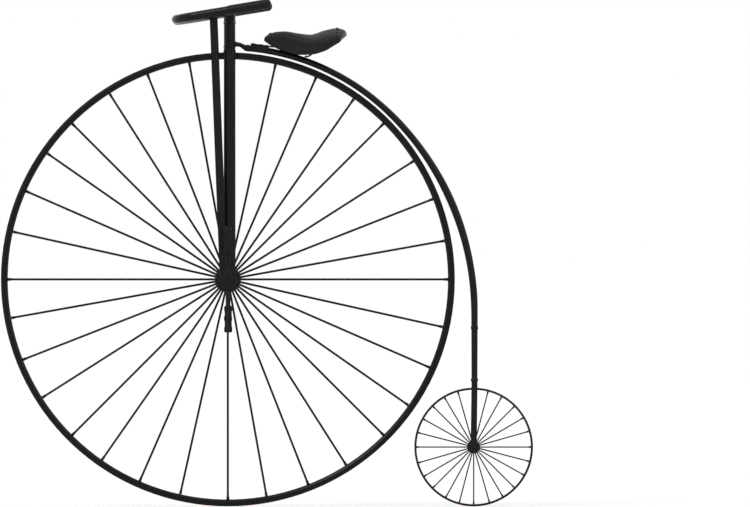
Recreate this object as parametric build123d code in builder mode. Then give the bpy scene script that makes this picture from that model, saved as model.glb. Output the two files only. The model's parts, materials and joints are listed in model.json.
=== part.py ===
"""Penny farthing bicycle, in millimetres.

The bicycle faces -X and its left side is -Y. The origin is where the rider sits, on the
saddle's top. Most places are worked out from the front hub, in the side view.
"""

import os
from math import acos, atan2, cos, degrees, radians, sin, sqrt

from build123d import *

# ---------------------------------------------------------------- clearances
FIT = 0.05                   # a shaft in its bore, on the radius
SEAT = 0.1                   # pieces that are fastened together
REST = 0.3                   # a piece and what it lies on
RUN = 0.5                    # faces that turn on each other
CLEAR = 5.5                  # pieces that move past each other

# ---------------------------------------------------------------- front wheel
FRONT_DIAMETER = 1422.4      # a 56 inch driving wheel
FRONT_TYRE_SECTION = 20.0
FRONT_RIM_WALL = 1.9
FRONT_RIM_WRAP = 78.0        # degrees of the tyre's section that the rim covers, each side
FRONT_SPOKE_TURNS = (0.0, 12.5, 23.6, 34.9)  # degrees within each eighth of the wheel
FRONT_SPOKE_DIAMETER = 7.0
FRONT_SPOKE_RIM_Y = 2.5      # spokes' ends beside the rim's middle
FRONT_NIPPLE_DIAMETER = 10.0
FRONT_NIPPLE_LENGTH = 13.0
FRONT_FLANGE_DIAMETER = 72.0
FRONT_FLANGE_THICK = 6.0
FRONT_FLANGE_Y = 37.0        # middle of a flange
FRONT_BARREL_DIAMETER = 36.0
FRONT_AXLE_DIAMETER = 20.0

# ---------------------------------------------------------------- rear wheel
REAR_DIAMETER = 372.0
REAR_TYRE_WIDTH = 13.0
REAR_TYRE_DEPTH = 5.0
REAR_RIM_WIDTH = 15.0
REAR_RIM_THICK = 1.9
REAR_SPOKE_TURNS = (0.0, 14.5, 29.1)         # degrees within each eighth of the wheel
REAR_SPOKE_DIAMETER = 4.2
REAR_SPOKE_RIM_Y = 2.0
REAR_NIPPLE_DIAMETER = 6.4
REAR_NIPPLE_LENGTH = 8.0
REAR_FLANGE_DIAMETER = 34.0
REAR_FLANGE_THICK = 3.5
REAR_FLANGE_Y = 13.0
REAR_BARREL_DIAMETER = 22.0
REAR_AXLE_DIAMETER = 10.0
NIPPLE_SHOULDER = 0.4        # how far a nipple's slim end stands out of its spoke

# ---------------------------------------------------------------- backbone and rear fork
BACKBONE_DEPTH = 20.0        # in the side view, over the front wheel
BACKBONE_WIDTH = 26.0        # across the bicycle, over the front wheel
BACKBONE_FULL = 24.0         # in the side view, midway behind the wheel
BACKBONE_WAIST = 21.0        # both, where it turns straight down
BACKBONE_TAIL = 19.0         # both, where it meets the rear fork
BACKBONE_LEAVES_AT = 47.0    # degrees above the hub's level where it leaves the wheel's curve
BACKBONE_DRIFT = 45.8        # how far it has left that curve where it turns straight down
BACKBONE_STEPS = 6           # stretches of its taper behind the wheel
TAIL_BEHIND = 2.5            # tail behind the rear hub
REAR_CROWN_THICK = 15.0
REAR_CROWN_CORNER = 3.0
REAR_BLADE_WIDTH = 19.0
REAR_BLADE_THICK = 5.0
REAR_BLADE_Y = 23.0
REAR_EYE_DIAMETER = 30.0
NUT_THICK = 8.0
NUT_WIDTH = 19.0
REAR_AXLE_STUB = 9.0
STEP_OVER_CROWN = 167.0      # mounting step above the rear fork's crown
STEP_DIAMETER = 16.0
STEP_LENGTH = 58.0
STEP_LIP = 2.0               # rim round the step's end, so that a foot stays on it
STEP_LIP_THICK = 5.0

# ---------------------------------------------------------------- steering head and fork
STEERING_BEHIND_HUB = 5.6
CROWN_THICK = 8.5
CROWN_CORNER = 6.0
CROWN_OVERHANG = 1.0         # crown past the blades
STEERER_DIAMETER = 20.0
SOCKET_DIAMETER = 36.0
SOCKET_LENGTH = 80.0
NECK_OVER_CROWN = 3.5
NECK_DEPTH = 14.0
NECK_WIDTH = 22.0
NECK_REACH = 54.0            # steering axis to the backbone's front end
NECK_LEVEL_REACH = 37.0      # steering axis to where the neck turns down
BLADE_WIDTH = 36.0
BLADE_THICK = 14.0
BLADE_TOP_Y = 32.0
BLADE_FOOT_Y = 60.0
HOUSING_DIAMETER = 56.0
HOUSING_LENGTH = 24.0
BOSS_DIAMETER = 36.0
BOSS_LENGTH = 7.0
STAY_WIDTH = 24.0
STAY_THICK = 6.0
STAY_EYE_DIAMETER = 54.0
STAY_AHEAD = 13.0            # stay ahead of the hub, at the hub's level
CLIP_LENGTH = 26.0

# ---------------------------------------------------------------- handlebar
BAR_DIAMETER = 28.0
BAR_TILT = 9.4               # degrees that it rises rearwards
BAR_CENTRE_HALF = 24.0       # half of its straight middle
BAR_FIRST_RADIUS = 45.0
BAR_FIRST_TURN = 68.0        # degrees, forwards
BAR_FORWARD = 168.0          # steering axis to its foremost centre line
BAR_BEND_RADIUS = 80.0
BAR_FLARE = 8.0              # degrees that its ends point outwards
BAR_BACK = 122.0             # steering axis to its rear end
BAR_LUG_WALL = 2.5           # lug's and clips' wall round the bar
LUG_RISE = 33.5              # lug's foot to the bar's centre
LUG_EYE_LENGTH = 40.0
GRIP_LENGTH = 118.0
GRIP_DIAMETER = 31.5
GRIP_CAP = 11.0              # grip past the bar's end
GRIP_ROUND = 14.0

# ---------------------------------------------------------------- cranks and pedals
CRANK_THROW = 125.0
CRANK_THICK = 14.0
CRANK_BOSS_DIAMETER = 38.0
CRANK_EYE_DIAMETER = 26.0
CRANK_ARM_WIDTH = 17.0
AXLE_STUB = 3.0              # axle past the crank
SPINDLE_DIAMETER = 12.0
SPINDLE_SHOULDER = 5.5
SPINDLE_HEAD_DIAMETER = 16.0
SPINDLE_HEAD_THICK = 4.0
PEDAL_LENGTH = 84.0          # across the foot
PEDAL_REACH = 84.0           # from toe side to heel side
PEDAL_PLATE_THICK = 3.0
PEDAL_PLATE_HEIGHT = 22.0
PEDAL_PLATE_CORNER = 8.0
PEDAL_TUBE_DIAMETER = 19.0
PEDAL_BLOCK_WIDTH = 20.0
PEDAL_BLOCK_HEIGHT = 25.0
PEDAL_BLOCK_CORNER = 5.0

# ---------------------------------------------------------------- spring and saddle
PERCH_AT = 82.2              # degrees above the hub's level where the spring is bolted down
PERCH_LENGTH = 58.0
PERCH_WIDTH = 36.0
PERCH_DEPTH = 13.0           # how far the perch reaches down the backbone's sides
PERCH_RISE = 1.2             # backbone to the spring's underside
PERCH_CORNER = 3.0
SPRING_LEAF = 5.0
SPRING_WIDTH = 28.0
SPRING_BEND = 100.0
SPRING_REST_AT = 71.0        # degrees where the spring's tail rests on the backbone
SCROLL_RADIUS = 19.0
SADDLE_CLAMP_AT = 222.0      # clamp's middle behind the hub
SADDLE_CLAMP_LENGTH = 30.0
SADDLE_CLAMP_WIDTH = 46.0
SADDLE_CLAMP_HEIGHT = 11.0
SADDLE_CLAMP_CORNER = 4.0
RAIL_DIAMETER = 7.0
RAIL_Y = 10.0
SEAT_BEHIND_HUB = 258.0      # the rider's seat point
SEAT_OVER_RAILS = 23.1
LEATHER = 5.0
PLATE_THICK = 4.0
# The saddle's sections: behind the seat point, half width, top above the seat point, how far
# the top's arch drops to its edge, skirt's bottom, and how far the skirt stands out.
SADDLE_SECTIONS = {
    "nose_tip": (-144.5, 10.0, -10.4, 4.0, -20.5, 0.0),
    "nose_plate": (-126.0, 20.0, 3.1, 9.0, -33.4, 1.0),
    "nose": (-82.0, 27.0, 10.0, 12.0, -54.0, 3.0),
    "waist": (-34.0, 45.0, 3.4, 17.0, -63.9, 6.0),
    "seat": (0.0, 66.0, 0.0, 21.0, -62.9, 5.0),
    "haunch": (46.0, 92.0, 13.6, 28.0, -50.9, 2.0),
    "cantle_plate": (84.0, 96.0, 20.4, 30.0, -29.4, 0.0),
    "back": (106.0, 86.0, 14.6, 22.0, -11.5, 0.0),
    "back_edge": (114.5, 76.0, 6.0, 10.0, -4.5, 0.0),
}

# ---------------------------------------------------------------- places from the front hub
FRONT_RADIUS = FRONT_DIAMETER / 2
TYRE_CENTRE_RADIUS = FRONT_RADIUS - FRONT_TYRE_SECTION / 2
RIM_BED_RADIUS = FRONT_TYRE_SECTION / 2 + SEAT
RIM_WALL_RADIUS = RIM_BED_RADIUS + FRONT_RIM_WALL
RIM_INNER_RADIUS = TYRE_CENTRE_RADIUS - RIM_WALL_RADIUS
REAR_RADIUS = REAR_DIAMETER / 2
REAR_HUB_DROP = FRONT_RADIUS - REAR_RADIUS

BACKBONE_RADIUS = FRONT_RADIUS + CLEAR + BACKBONE_DEPTH / 2
BACKBONE_TOP = BACKBONE_RADIUS + BACKBONE_DEPTH / 2
TAIL_X = BACKBONE_RADIUS + BACKBONE_DRIFT
WHEELBASE = TAIL_X - TAIL_BEHIND
REAR_CROWN_BOTTOM = -REAR_HUB_DROP + REAR_RADIUS + CLEAR
REAR_CROWN_TOP = REAR_CROWN_BOTTOM + REAR_CROWN_THICK

CROWN_BOTTOM = FRONT_RADIUS + CLEAR
CROWN_TOP = CROWN_BOTTOM + CROWN_THICK
SOCKET_BOTTOM = CROWN_TOP + RUN
LUG_BOTTOM = SOCKET_BOTTOM + SOCKET_LENGTH + RUN
BAR_HEIGHT = LUG_BOTTOM + LUG_RISE
STEERER_TOP = BAR_HEIGHT - BAR_DIAMETER / 2 - BAR_LUG_WALL
HOUSING_INNER_Y = BLADE_FOOT_Y - HOUSING_LENGTH / 2
HOUSING_OUTER_Y = BLADE_FOOT_Y + HOUSING_LENGTH / 2
BOSS_OUTER_Y = HOUSING_OUTER_Y + BOSS_LENGTH
STAY_Y = HOUSING_OUTER_Y + SEAT + STAY_THICK / 2
CRANK_INNER_Y = BOSS_OUTER_Y + CLEAR
CRANK_OUTER_Y = CRANK_INNER_Y + CRANK_THICK
PEDAL_INNER_Y = CRANK_OUTER_Y + SPINDLE_SHOULDER + RUN
PEDAL_OUTER_Y = PEDAL_INNER_Y + PEDAL_LENGTH
SIDES = {"left": -1, "right": 1}


def polar(radius, angle):
    """A side-view place on a circle round the front hub, its angle above the hub's level."""
    return (radius * cos(radians(angle)), radius * sin(radians(angle)))


def ahead_of(start, radius, heading, new_heading, centre_above):
    """Where an arc from start ends when its heading has turned, both in radians."""
    sign = 1 if centre_above else -1
    return (
        start[0] + sign * radius * (sin(new_heading) - sin(heading)),
        start[1] + sign * radius * (cos(heading) - cos(new_heading)),
    )


# The spring: bolted along the backbone, two bends up to level, then a scroll down to its rest.
slope = radians(PERCH_AT - 90)
leaf_x, leaf_z = polar(BACKBONE_TOP + PERCH_RISE + SPRING_LEAF / 2, PERCH_AT)
leaf_half = PERCH_LENGTH / 2
leaf_tip = (leaf_x - leaf_half * cos(slope), leaf_z - leaf_half * sin(slope))
bend_one = (leaf_x + leaf_half * cos(slope), leaf_z + leaf_half * sin(slope))
rest_turn = radians(SPRING_REST_AT)
scroll_reach = BACKBONE_TOP + REST + SPRING_LEAF / 2 + SCROLL_RADIUS
scroll = polar(scroll_reach, SPRING_REST_AT)
scroll_top = (scroll[0], scroll[1] + SCROLL_RADIUS)
scroll_back = (
    scroll[0] + SCROLL_RADIUS * sin(rest_turn),
    scroll[1] - SCROLL_RADIUS * cos(rest_turn),
)
scroll_end = polar(scroll_reach - SCROLL_RADIUS, SPRING_REST_AT)
lift = acos((1 + cos(slope) - (scroll_top[1] - bend_one[1]) / SPRING_BEND) / 2)
bend_one_middle = ahead_of(bend_one, SPRING_BEND, slope, (slope + lift) / 2, True)
bend_two = ahead_of(bend_one, SPRING_BEND, slope, lift, True)
bend_two_middle = ahead_of(bend_two, SPRING_BEND, lift, lift / 2, False)
bend_end = ahead_of(bend_two, SPRING_BEND, lift, 0, False)
CLAMP_BOTTOM = scroll_top[1] + SPRING_LEAF / 2 + SEAT
RAIL_HEIGHT = CLAMP_BOTTOM + SADDLE_CLAMP_HEIGHT / 2
SEAT_ABOVE_HUB = RAIL_HEIGHT + SEAT_OVER_RAILS

HUB = Vector(-SEAT_BEHIND_HUB, 0, -SEAT_ABOVE_HUB)
REAR_HUB = HUB + Vector(WHEELBASE, 0, -REAR_HUB_DROP)
SIDE = Plane(origin=HUB, x_dir=(1, 0, 0), z_dir=(0, -1, 0))
AXIAL = Plane(origin=HUB, x_dir=(0, 1, 0), z_dir=(1, 0, 0))
REAR_AXIAL = Plane(origin=REAR_HUB, x_dir=(0, 1, 0), z_dir=(1, 0, 0))
SPIN = Axis(HUB, (0, 1, 0))
REAR_SPIN = Axis(REAR_HUB, (0, 1, 0))

os.makedirs("parts", exist_ok=True)


def place(x, y, z):
    """The point so far behind, to the right of and above the front hub."""
    return HUB + Vector(x, y, z)


def across(x, z, y=0.0, origin=HUB):
    """A plane that faces along +Y, with its first axis rearwards and its second one down."""
    return Plane(origin=origin + Vector(x, y, z), x_dir=(1, 0, 0), z_dir=(0, 1, 0))


def upright(x, z=0.0, heading=(1, 0, 0)):
    """A plane across the bicycle that faces along a heading, with its first axis along +Y."""
    return Plane(origin=place(x, 0, z), x_dir=(0, 1, 0), z_dir=heading)


def level(z, x=0.0, y=0.0):
    """A level plane."""
    return Plane(origin=place(x, y, z), x_dir=(1, 0, 0), z_dir=(0, 0, 1))


def save(part, label):
    """Writes one finished piece under its own name."""
    part.label = label
    export_step(part, f"parts/{label}.step")


def spoke_set(hub, turns, flange_radius, flange_y, rim_radius, rim_y, wire, nipple, length):
    """Radial spokes, to the hub's two flanges in turn, each with its nipple at the rim."""
    spokes = []
    for eighth in range(0, 360, 45):
        for turn in turns:
            angle = radians(90 - eighth - turn)
            side = 1 if len(spokes) % 2 else -1
            out = Vector(cos(angle), 0, sin(angle))
            foot = hub + out * (flange_radius + REST) + Vector(0, side * flange_y, 0)
            head = hub + out * (rim_radius - REST) + Vector(0, side * rim_y, 0)
            run = head - foot
            slim_end = run.length - length
            with BuildPart() as spoke:
                with BuildSketch(Plane(origin=foot, x_dir=run, z_dir=out.cross(Vector(0, 1, 0)))):
                    with BuildLine():
                        Polyline(
                            (0, 0), (run.length, 0), (run.length, nipple / 2),
                            (slim_end, wire / 2 + NIPPLE_SHOULDER), (slim_end, wire / 2),
                            (0, wire / 2), (0, 0),
                        )
                    make_face()
                revolve(axis=Axis(foot, run))
            spokes.append(spoke.part)
    return Compound(children=spokes)


def hub_shell(origin, barrel, flange, flange_y, flange_thick, bore):
    """A hub with two flanges, bored for its axle."""
    end = flange_y + flange_thick
    with BuildPart() as shell:
        with BuildSketch(across(0, 0, -flange_y, origin)):
            Circle(barrel / 2)
        extrude(amount=2 * flange_y)
        for y in (-flange_y, flange_y):
            with BuildSketch(across(0, 0, y, origin)):
                Circle(flange / 2)
            extrude(amount=flange_thick / 2, both=True)
        with BuildSketch(across(0, 0, -end, origin)):
            Circle(bore / 2 + FIT)
        extrude(amount=2 * end, mode=Mode.SUBTRACT)
    return shell.part


# ---------------------------------------------------------------- front wheel
with BuildPart() as front_tyre:
    with BuildSketch(AXIAL):
        with Locations((0, TYRE_CENTRE_RADIUS)):
            Circle(FRONT_TYRE_SECTION / 2)
    revolve(axis=SPIN)
save(front_tyre.part, "front_tyre")

wrap = radians(FRONT_RIM_WRAP)
bed_lip = (RIM_BED_RADIUS * sin(wrap), TYRE_CENTRE_RADIUS - RIM_BED_RADIUS * cos(wrap))
wall_lip = (RIM_WALL_RADIUS * sin(wrap), TYRE_CENTRE_RADIUS - RIM_WALL_RADIUS * cos(wrap))
with BuildPart() as front_rim:
    with BuildSketch(AXIAL):
        with BuildLine():
            bed_middle = (0, TYRE_CENTRE_RADIUS - RIM_BED_RADIUS)
            ThreePointArc((-bed_lip[0], bed_lip[1]), bed_middle, bed_lip)
            Line(bed_lip, wall_lip)
            ThreePointArc(wall_lip, (0, RIM_INNER_RADIUS), (-wall_lip[0], wall_lip[1]))
            Line((-wall_lip[0], wall_lip[1]), (-bed_lip[0], bed_lip[1]))
        make_face()
    revolve(axis=SPIN)
save(front_rim.part, "front_rim")

front_hub = hub_shell(
    HUB, FRONT_BARREL_DIAMETER, FRONT_FLANGE_DIAMETER, FRONT_FLANGE_Y,
    FRONT_FLANGE_THICK, FRONT_AXLE_DIAMETER,
)
save(front_hub, "front_hub")

axle_half = CRANK_OUTER_Y + AXLE_STUB
with BuildPart() as front_axle:
    with BuildSketch(across(0, 0, -axle_half)):
        Circle(FRONT_AXLE_DIAMETER / 2)
    extrude(amount=2 * axle_half)
save(front_axle.part, "front_axle")

front_spokes = spoke_set(
    HUB, FRONT_SPOKE_TURNS, FRONT_FLANGE_DIAMETER / 2, FRONT_FLANGE_Y,
    RIM_INNER_RADIUS, FRONT_SPOKE_RIM_Y,
    FRONT_SPOKE_DIAMETER, FRONT_NIPPLE_DIAMETER, FRONT_NIPPLE_LENGTH,
)
save(front_spokes, "front_spokes")

# ---------------------------------------------------------------- cranks and pedals
for name, side in SIDES.items():
    # The left crank stands up and the right one hangs down.
    eye_z = -side * CRANK_THROW
    crank_plane = across(0, 0, side * CRANK_INNER_Y)
    with BuildPart() as crank:
        with BuildSketch(crank_plane):
            Circle(CRANK_BOSS_DIAMETER / 2)
            with Locations((0, -eye_z)):
                Circle(CRANK_EYE_DIAMETER / 2)
            with Locations((0, -eye_z / 2)):
                Rectangle(CRANK_ARM_WIDTH, CRANK_THROW)
        extrude(amount=side * CRANK_THICK)
        with BuildSketch(crank_plane):
            Circle(FRONT_AXLE_DIAMETER / 2 + FIT)
            with Locations((0, -eye_z)):
                Circle(SPINDLE_DIAMETER / 2 + FIT)
        extrude(amount=side * CRANK_THICK, mode=Mode.SUBTRACT)
    save(crank.part, f"crank_{name}")

    head_y = PEDAL_OUTER_Y + RUN
    with BuildPart() as spindle:
        with BuildSketch(across(0, eye_z, side * CRANK_INNER_Y)):
            Circle(SPINDLE_DIAMETER / 2)
        extrude(amount=side * (head_y - CRANK_INNER_Y))
        with BuildSketch(across(0, eye_z, side * (CRANK_OUTER_Y + SEAT))):
            Circle(PEDAL_TUBE_DIAMETER / 2)
        extrude(amount=side * (SPINDLE_SHOULDER - SEAT))
        with BuildSketch(across(0, eye_z, side * head_y)):
            Circle(SPINDLE_HEAD_DIAMETER / 2)
        extrude(amount=side * SPINDLE_HEAD_THICK)
    save(spindle.part, f"pedal_spindle_{name}")

    with BuildPart() as pedal:
        with BuildSketch(across(0, eye_z, side * PEDAL_INNER_Y)):
            Circle(PEDAL_TUBE_DIAMETER / 2)
        extrude(amount=side * PEDAL_LENGTH)
        for y in (PEDAL_INNER_Y, PEDAL_OUTER_Y - PEDAL_PLATE_THICK):
            with BuildSketch(across(0, eye_z, side * y)):
                RectangleRounded(PEDAL_PLATE_HEIGHT, PEDAL_REACH, PEDAL_PLATE_CORNER)
            extrude(amount=side * PEDAL_PLATE_THICK)
        with BuildSketch(across(0, eye_z, side * PEDAL_INNER_Y)):
            Circle(SPINDLE_DIAMETER / 2 + FIT)
        extrude(amount=side * PEDAL_LENGTH, mode=Mode.SUBTRACT)
    save(pedal.part, f"pedal_cage_{name}")

    block_z = PEDAL_REACH / 2 - PEDAL_BLOCK_WIDTH / 2
    block_inner_y = PEDAL_INNER_Y + PEDAL_PLATE_THICK + SEAT
    with BuildPart() as blocks:
        with BuildSketch(across(0, eye_z, side * block_inner_y)):
            with Locations((0, block_z), (0, -block_z)):
                RectangleRounded(PEDAL_BLOCK_HEIGHT, PEDAL_BLOCK_WIDTH, PEDAL_BLOCK_CORNER)
        extrude(amount=side * (PEDAL_LENGTH - 2 * PEDAL_PLATE_THICK - 2 * SEAT))
    save(blocks.part, f"pedal_blocks_{name}")

# ---------------------------------------------------------------- front fork
crown_width = 2 * (BLADE_TOP_Y + BLADE_THICK / 2 + CROWN_OVERHANG)
with BuildPart() as fork_crown:
    with BuildSketch(level(CROWN_BOTTOM, STEERING_BEHIND_HUB)):
        RectangleRounded(BLADE_WIDTH, crown_width, CROWN_CORNER)
    extrude(amount=CROWN_THICK)
    with BuildSketch(level(CROWN_TOP, STEERING_BEHIND_HUB)):
        Circle(STEERER_DIAMETER / 2)
    extrude(amount=STEERER_TOP - CROWN_TOP)
save(fork_crown.part, "fork_crown")

for name, side in SIDES.items():
    blade_top = level(CROWN_BOTTOM - SEAT, STEERING_BEHIND_HUB, side * BLADE_TOP_Y)
    with BuildPart() as blade:
        with BuildSketch(blade_top):
            Ellipse(BLADE_WIDTH / 2, BLADE_THICK / 2)
        with BuildSketch(level(0, STEERING_BEHIND_HUB, side * BLADE_FOOT_Y)):
            Ellipse(BLADE_WIDTH / 2, BLADE_THICK / 2)
        loft()
        with BuildSketch(across(0, 0)):
            Circle(HOUSING_DIAMETER / 2 + SEAT)
        extrude(amount=side * 2 * BLADE_FOOT_Y, mode=Mode.SUBTRACT)
    save(blade.part, f"fork_blade_{name}")

    with BuildPart() as housing:
        with BuildSketch(across(0, 0, side * HOUSING_INNER_Y)):
            Circle(HOUSING_DIAMETER / 2)
        extrude(amount=side * HOUSING_LENGTH)
        with BuildSketch(across(0, 0, side * HOUSING_OUTER_Y)):
            Circle(BOSS_DIAMETER / 2)
        extrude(amount=side * BOSS_LENGTH)
        with BuildSketch(across(0, 0)):
            Circle(FRONT_AXLE_DIAMETER / 2 + FIT)
        extrude(amount=side * BOSS_OUTER_Y, mode=Mode.SUBTRACT)
    save(housing.part, f"axle_bearing_{name}")

# ---------------------------------------------------------------- handlebar
# The bar lies in one tilted plane. In it u runs rearwards and v to the right.
TILT = Plane(
    origin=place(STEERING_BEHIND_HUB, 0, BAR_HEIGHT),
    x_dir=(cos(radians(BAR_TILT)), 0, sin(radians(BAR_TILT))),
    z_dir=(-sin(radians(BAR_TILT)), 0, cos(radians(BAR_TILT))),
)
turn = radians(BAR_FIRST_TURN)
flare = radians(BAR_FLARE)
arc_middle = (
    -BAR_FIRST_RADIUS * (1 - cos(turn / 2)),
    BAR_CENTRE_HALF + BAR_FIRST_RADIUS * sin(turn / 2),
)
arc_end = (
    -BAR_FIRST_RADIUS * (1 - cos(turn)),
    BAR_CENTRE_HALF + BAR_FIRST_RADIUS * sin(turn),
)
bend_start_u = -BAR_FORWARD + BAR_BEND_RADIUS * (1 - cos(turn))
slant = (arc_end[0] - bend_start_u) / sin(turn)
bend_start = (bend_start_u, arc_end[1] + slant * cos(turn))
bend_centre = (-BAR_FORWARD + BAR_BEND_RADIUS, bend_start[1] + BAR_BEND_RADIUS * sin(turn))
bend_front = (-BAR_FORWARD, bend_centre[1])
bar_bend_end = (
    bend_centre[0] - BAR_BEND_RADIUS * sin(flare),
    bend_centre[1] + BAR_BEND_RADIUS * cos(flare),
)
straight = (BAR_BACK - bar_bend_end[0]) / cos(flare)
bar_end = (BAR_BACK, bar_bend_end[1] + straight * sin(flare))


def on_bar(point, side):
    """A place in the handlebar's plane, on the left or the right side."""
    return TILT.origin + TILT.x_dir * point[0] + Vector(0, side * point[1], 0)


def bar_heading(u, v, side):
    """A direction in the handlebar's plane, on the left or the right side."""
    return TILT.x_dir * u + Vector(0, side * v, 0)


with BuildPart() as handlebar:
    with BuildLine() as bar_path:
        Line(on_bar((0, BAR_CENTRE_HALF), -1), on_bar((0, BAR_CENTRE_HALF), 1))
        for side in SIDES.values():
            middle_end = (0, BAR_CENTRE_HALF)
            ThreePointArc(on_bar(middle_end, side), on_bar(arc_middle, side), on_bar(arc_end, side))
            Line(on_bar(arc_end, side), on_bar(bend_start, side))
            ThreePointArc(
                on_bar(bend_start, side), on_bar(bend_front, side), on_bar(bar_bend_end, side)
            )
            Line(on_bar(bar_bend_end, side), on_bar(bar_end, side))
    with BuildSketch(Plane(origin=TILT.origin, x_dir=TILT.z_dir, z_dir=(0, 1, 0))):
        Circle(BAR_DIAMETER / 2)
    sweep(path=bar_path.wires()[0])
save(handlebar.part, "handlebar")

lug_radius = BAR_DIAMETER / 2 + BAR_LUG_WALL
with BuildPart() as handlebar_lug:
    with BuildSketch(level(LUG_BOTTOM, STEERING_BEHIND_HUB)):
        Circle(SOCKET_DIAMETER / 2)
    extrude(amount=LUG_RISE)
    with BuildSketch(Plane(origin=TILT.origin, x_dir=TILT.x_dir, z_dir=(0, 1, 0))):
        Circle(lug_radius)
    extrude(amount=LUG_EYE_LENGTH / 2, both=True)
    with BuildSketch(Plane(origin=TILT.origin, x_dir=TILT.x_dir, z_dir=(0, 1, 0))):
        Circle(BAR_DIAMETER / 2 + SEAT)
    extrude(amount=LUG_EYE_LENGTH, both=True, mode=Mode.SUBTRACT)
    with BuildSketch(level(LUG_BOTTOM, STEERING_BEHIND_HUB)):
        Circle(STEERER_DIAMETER / 2 + SEAT)
    extrude(amount=STEERER_TOP - LUG_BOTTOM + SEAT, mode=Mode.SUBTRACT)
save(handlebar_lug.part, "handlebar_lug")

grip_start = (bar_end[0] - GRIP_LENGTH * cos(flare), bar_end[1] - GRIP_LENGTH * sin(flare))
stay_run = (STAY_Y - arc_end[1]) / cos(turn)
clip_at = (arc_end[0] - stay_run * sin(turn), STAY_Y)
for name, side in SIDES.items():
    with BuildPart() as grip:
        grip_plane = Plane(on_bar(grip_start, side), z_dir=bar_heading(cos(flare), sin(flare), side))
        with BuildSketch(grip_plane):
            Circle(GRIP_DIAMETER / 2)
        extrude(amount=GRIP_LENGTH + GRIP_CAP)
        fillet(grip.faces().sort_by(Axis.X)[-1].edges(), GRIP_ROUND)
        with BuildSketch(grip_plane):
            Circle(BAR_DIAMETER / 2 + SEAT)
        extrude(amount=GRIP_LENGTH + SEAT, mode=Mode.SUBTRACT)
    save(grip.part, f"grip_{name}")

    clip_centre = on_bar(clip_at, side)
    clip_heading = bar_heading(-sin(turn), cos(turn), side)
    clip_plane = Plane(origin=clip_centre, z_dir=clip_heading)
    stay_foot = place(-STAY_AHEAD, side * STAY_Y, 0)
    stay_line = clip_centre - stay_foot
    with BuildPart() as stay:
        with BuildSketch(across(0, 0, side * STAY_Y)):
            Circle(STAY_EYE_DIAMETER / 2)
        extrude(amount=STAY_THICK / 2, both=True)
        with BuildSketch(Plane(origin=stay_foot, x_dir=(0, 1, 0), z_dir=stay_line)):
            Rectangle(STAY_THICK, STAY_WIDTH)
        extrude(amount=stay_line.length)
        with BuildSketch(clip_plane):
            Circle(lug_radius)
        extrude(amount=CLIP_LENGTH / 2, both=True)
        with BuildSketch(clip_plane):
            Circle(BAR_DIAMETER / 2 + SEAT)
        extrude(amount=CLIP_LENGTH, both=True, mode=Mode.SUBTRACT)
        with BuildSketch(across(0, 0)):
            Circle(BOSS_DIAMETER / 2 + SEAT)
        extrude(amount=side * 2 * STAY_Y, mode=Mode.SUBTRACT)
    save(stay.part, f"fork_stay_{name}")

# ---------------------------------------------------------------- steering head and backbone
neck_x = STEERING_BEHIND_HUB + NECK_REACH
neck_angle = degrees(atan2(sqrt(BACKBONE_RADIUS**2 - neck_x**2), neck_x))
neck_end = polar(BACKBONE_RADIUS, neck_angle)
neck_z = CROWN_TOP + NECK_OVER_CROWN + NECK_DEPTH / 2


def heading_at(angle):
    """The backbone's heading, rearwards and down, where a radius has that angle."""
    return (sin(radians(angle)), 0, -cos(radians(angle)))


with BuildPart() as steering_head:
    for x in (STEERING_BEHIND_HUB, STEERING_BEHIND_HUB + NECK_LEVEL_REACH):
        with BuildSketch(upright(x, neck_z)):
            Ellipse(NECK_WIDTH / 2, NECK_DEPTH / 2)
    with BuildSketch(upright(neck_end[0], neck_end[1], heading_at(neck_angle))):
        Ellipse(BACKBONE_WIDTH / 2, BACKBONE_DEPTH / 2)
    loft(ruled=True)
    with BuildSketch(level(SOCKET_BOTTOM, STEERING_BEHIND_HUB)):
        Circle(SOCKET_DIAMETER / 2)
    extrude(amount=SOCKET_LENGTH)
    with BuildSketch(level(SOCKET_BOTTOM, STEERING_BEHIND_HUB)):
        Circle(STEERER_DIAMETER / 2 + FIT)
    extrude(amount=SOCKET_LENGTH, mode=Mode.SUBTRACT)
save(steering_head.part, "steering_head")

# The backbone follows the front wheel, then leaves it on a flatter arc that ends upright.
leaves = radians(BACKBONE_LEAVES_AT)
flatter_by = BACKBONE_DRIFT / (1 - cos(leaves))
flatter_centre = (-flatter_by * cos(leaves), -flatter_by * sin(leaves))
flatter_radius = BACKBONE_RADIUS + flatter_by
front_angle = neck_angle - degrees(SEAT / BACKBONE_RADIUS)
front = polar(BACKBONE_RADIUS, front_angle)
with BuildPart() as backbone:
    with BuildSketch(upright(front[0], front[1], heading_at(front_angle))):
        Ellipse(BACKBONE_WIDTH / 2, BACKBONE_DEPTH / 2)
    revolve(axis=SPIN, revolution_arc=front_angle - BACKBONE_LEAVES_AT)
    for step in range(BACKBONE_STEPS + 1):
        share = step / BACKBONE_STEPS
        angle = BACKBONE_LEAVES_AT * (1 - share)
        x, z = polar(flatter_radius, angle)
        width = BACKBONE_WIDTH + share * (BACKBONE_WAIST - BACKBONE_WIDTH)
        depth = BACKBONE_DEPTH + 2 * share * (BACKBONE_FULL - BACKBONE_DEPTH)
        if share > 0.5:
            depth = BACKBONE_FULL + (2 * share - 1) * (BACKBONE_WAIST - BACKBONE_FULL)
        heading = heading_at(angle)
        with BuildSketch(upright(flatter_centre[0] + x, flatter_centre[1] + z, heading)):
            Ellipse(width / 2, depth / 2)
    loft()
    with BuildSketch(level(flatter_centre[1], TAIL_X)):
        Circle(BACKBONE_WAIST / 2)
    with BuildSketch(level(REAR_CROWN_TOP + SEAT, TAIL_X)):
        Circle(BACKBONE_TAIL / 2)
    loft()
save(backbone.part, "backbone")

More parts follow.
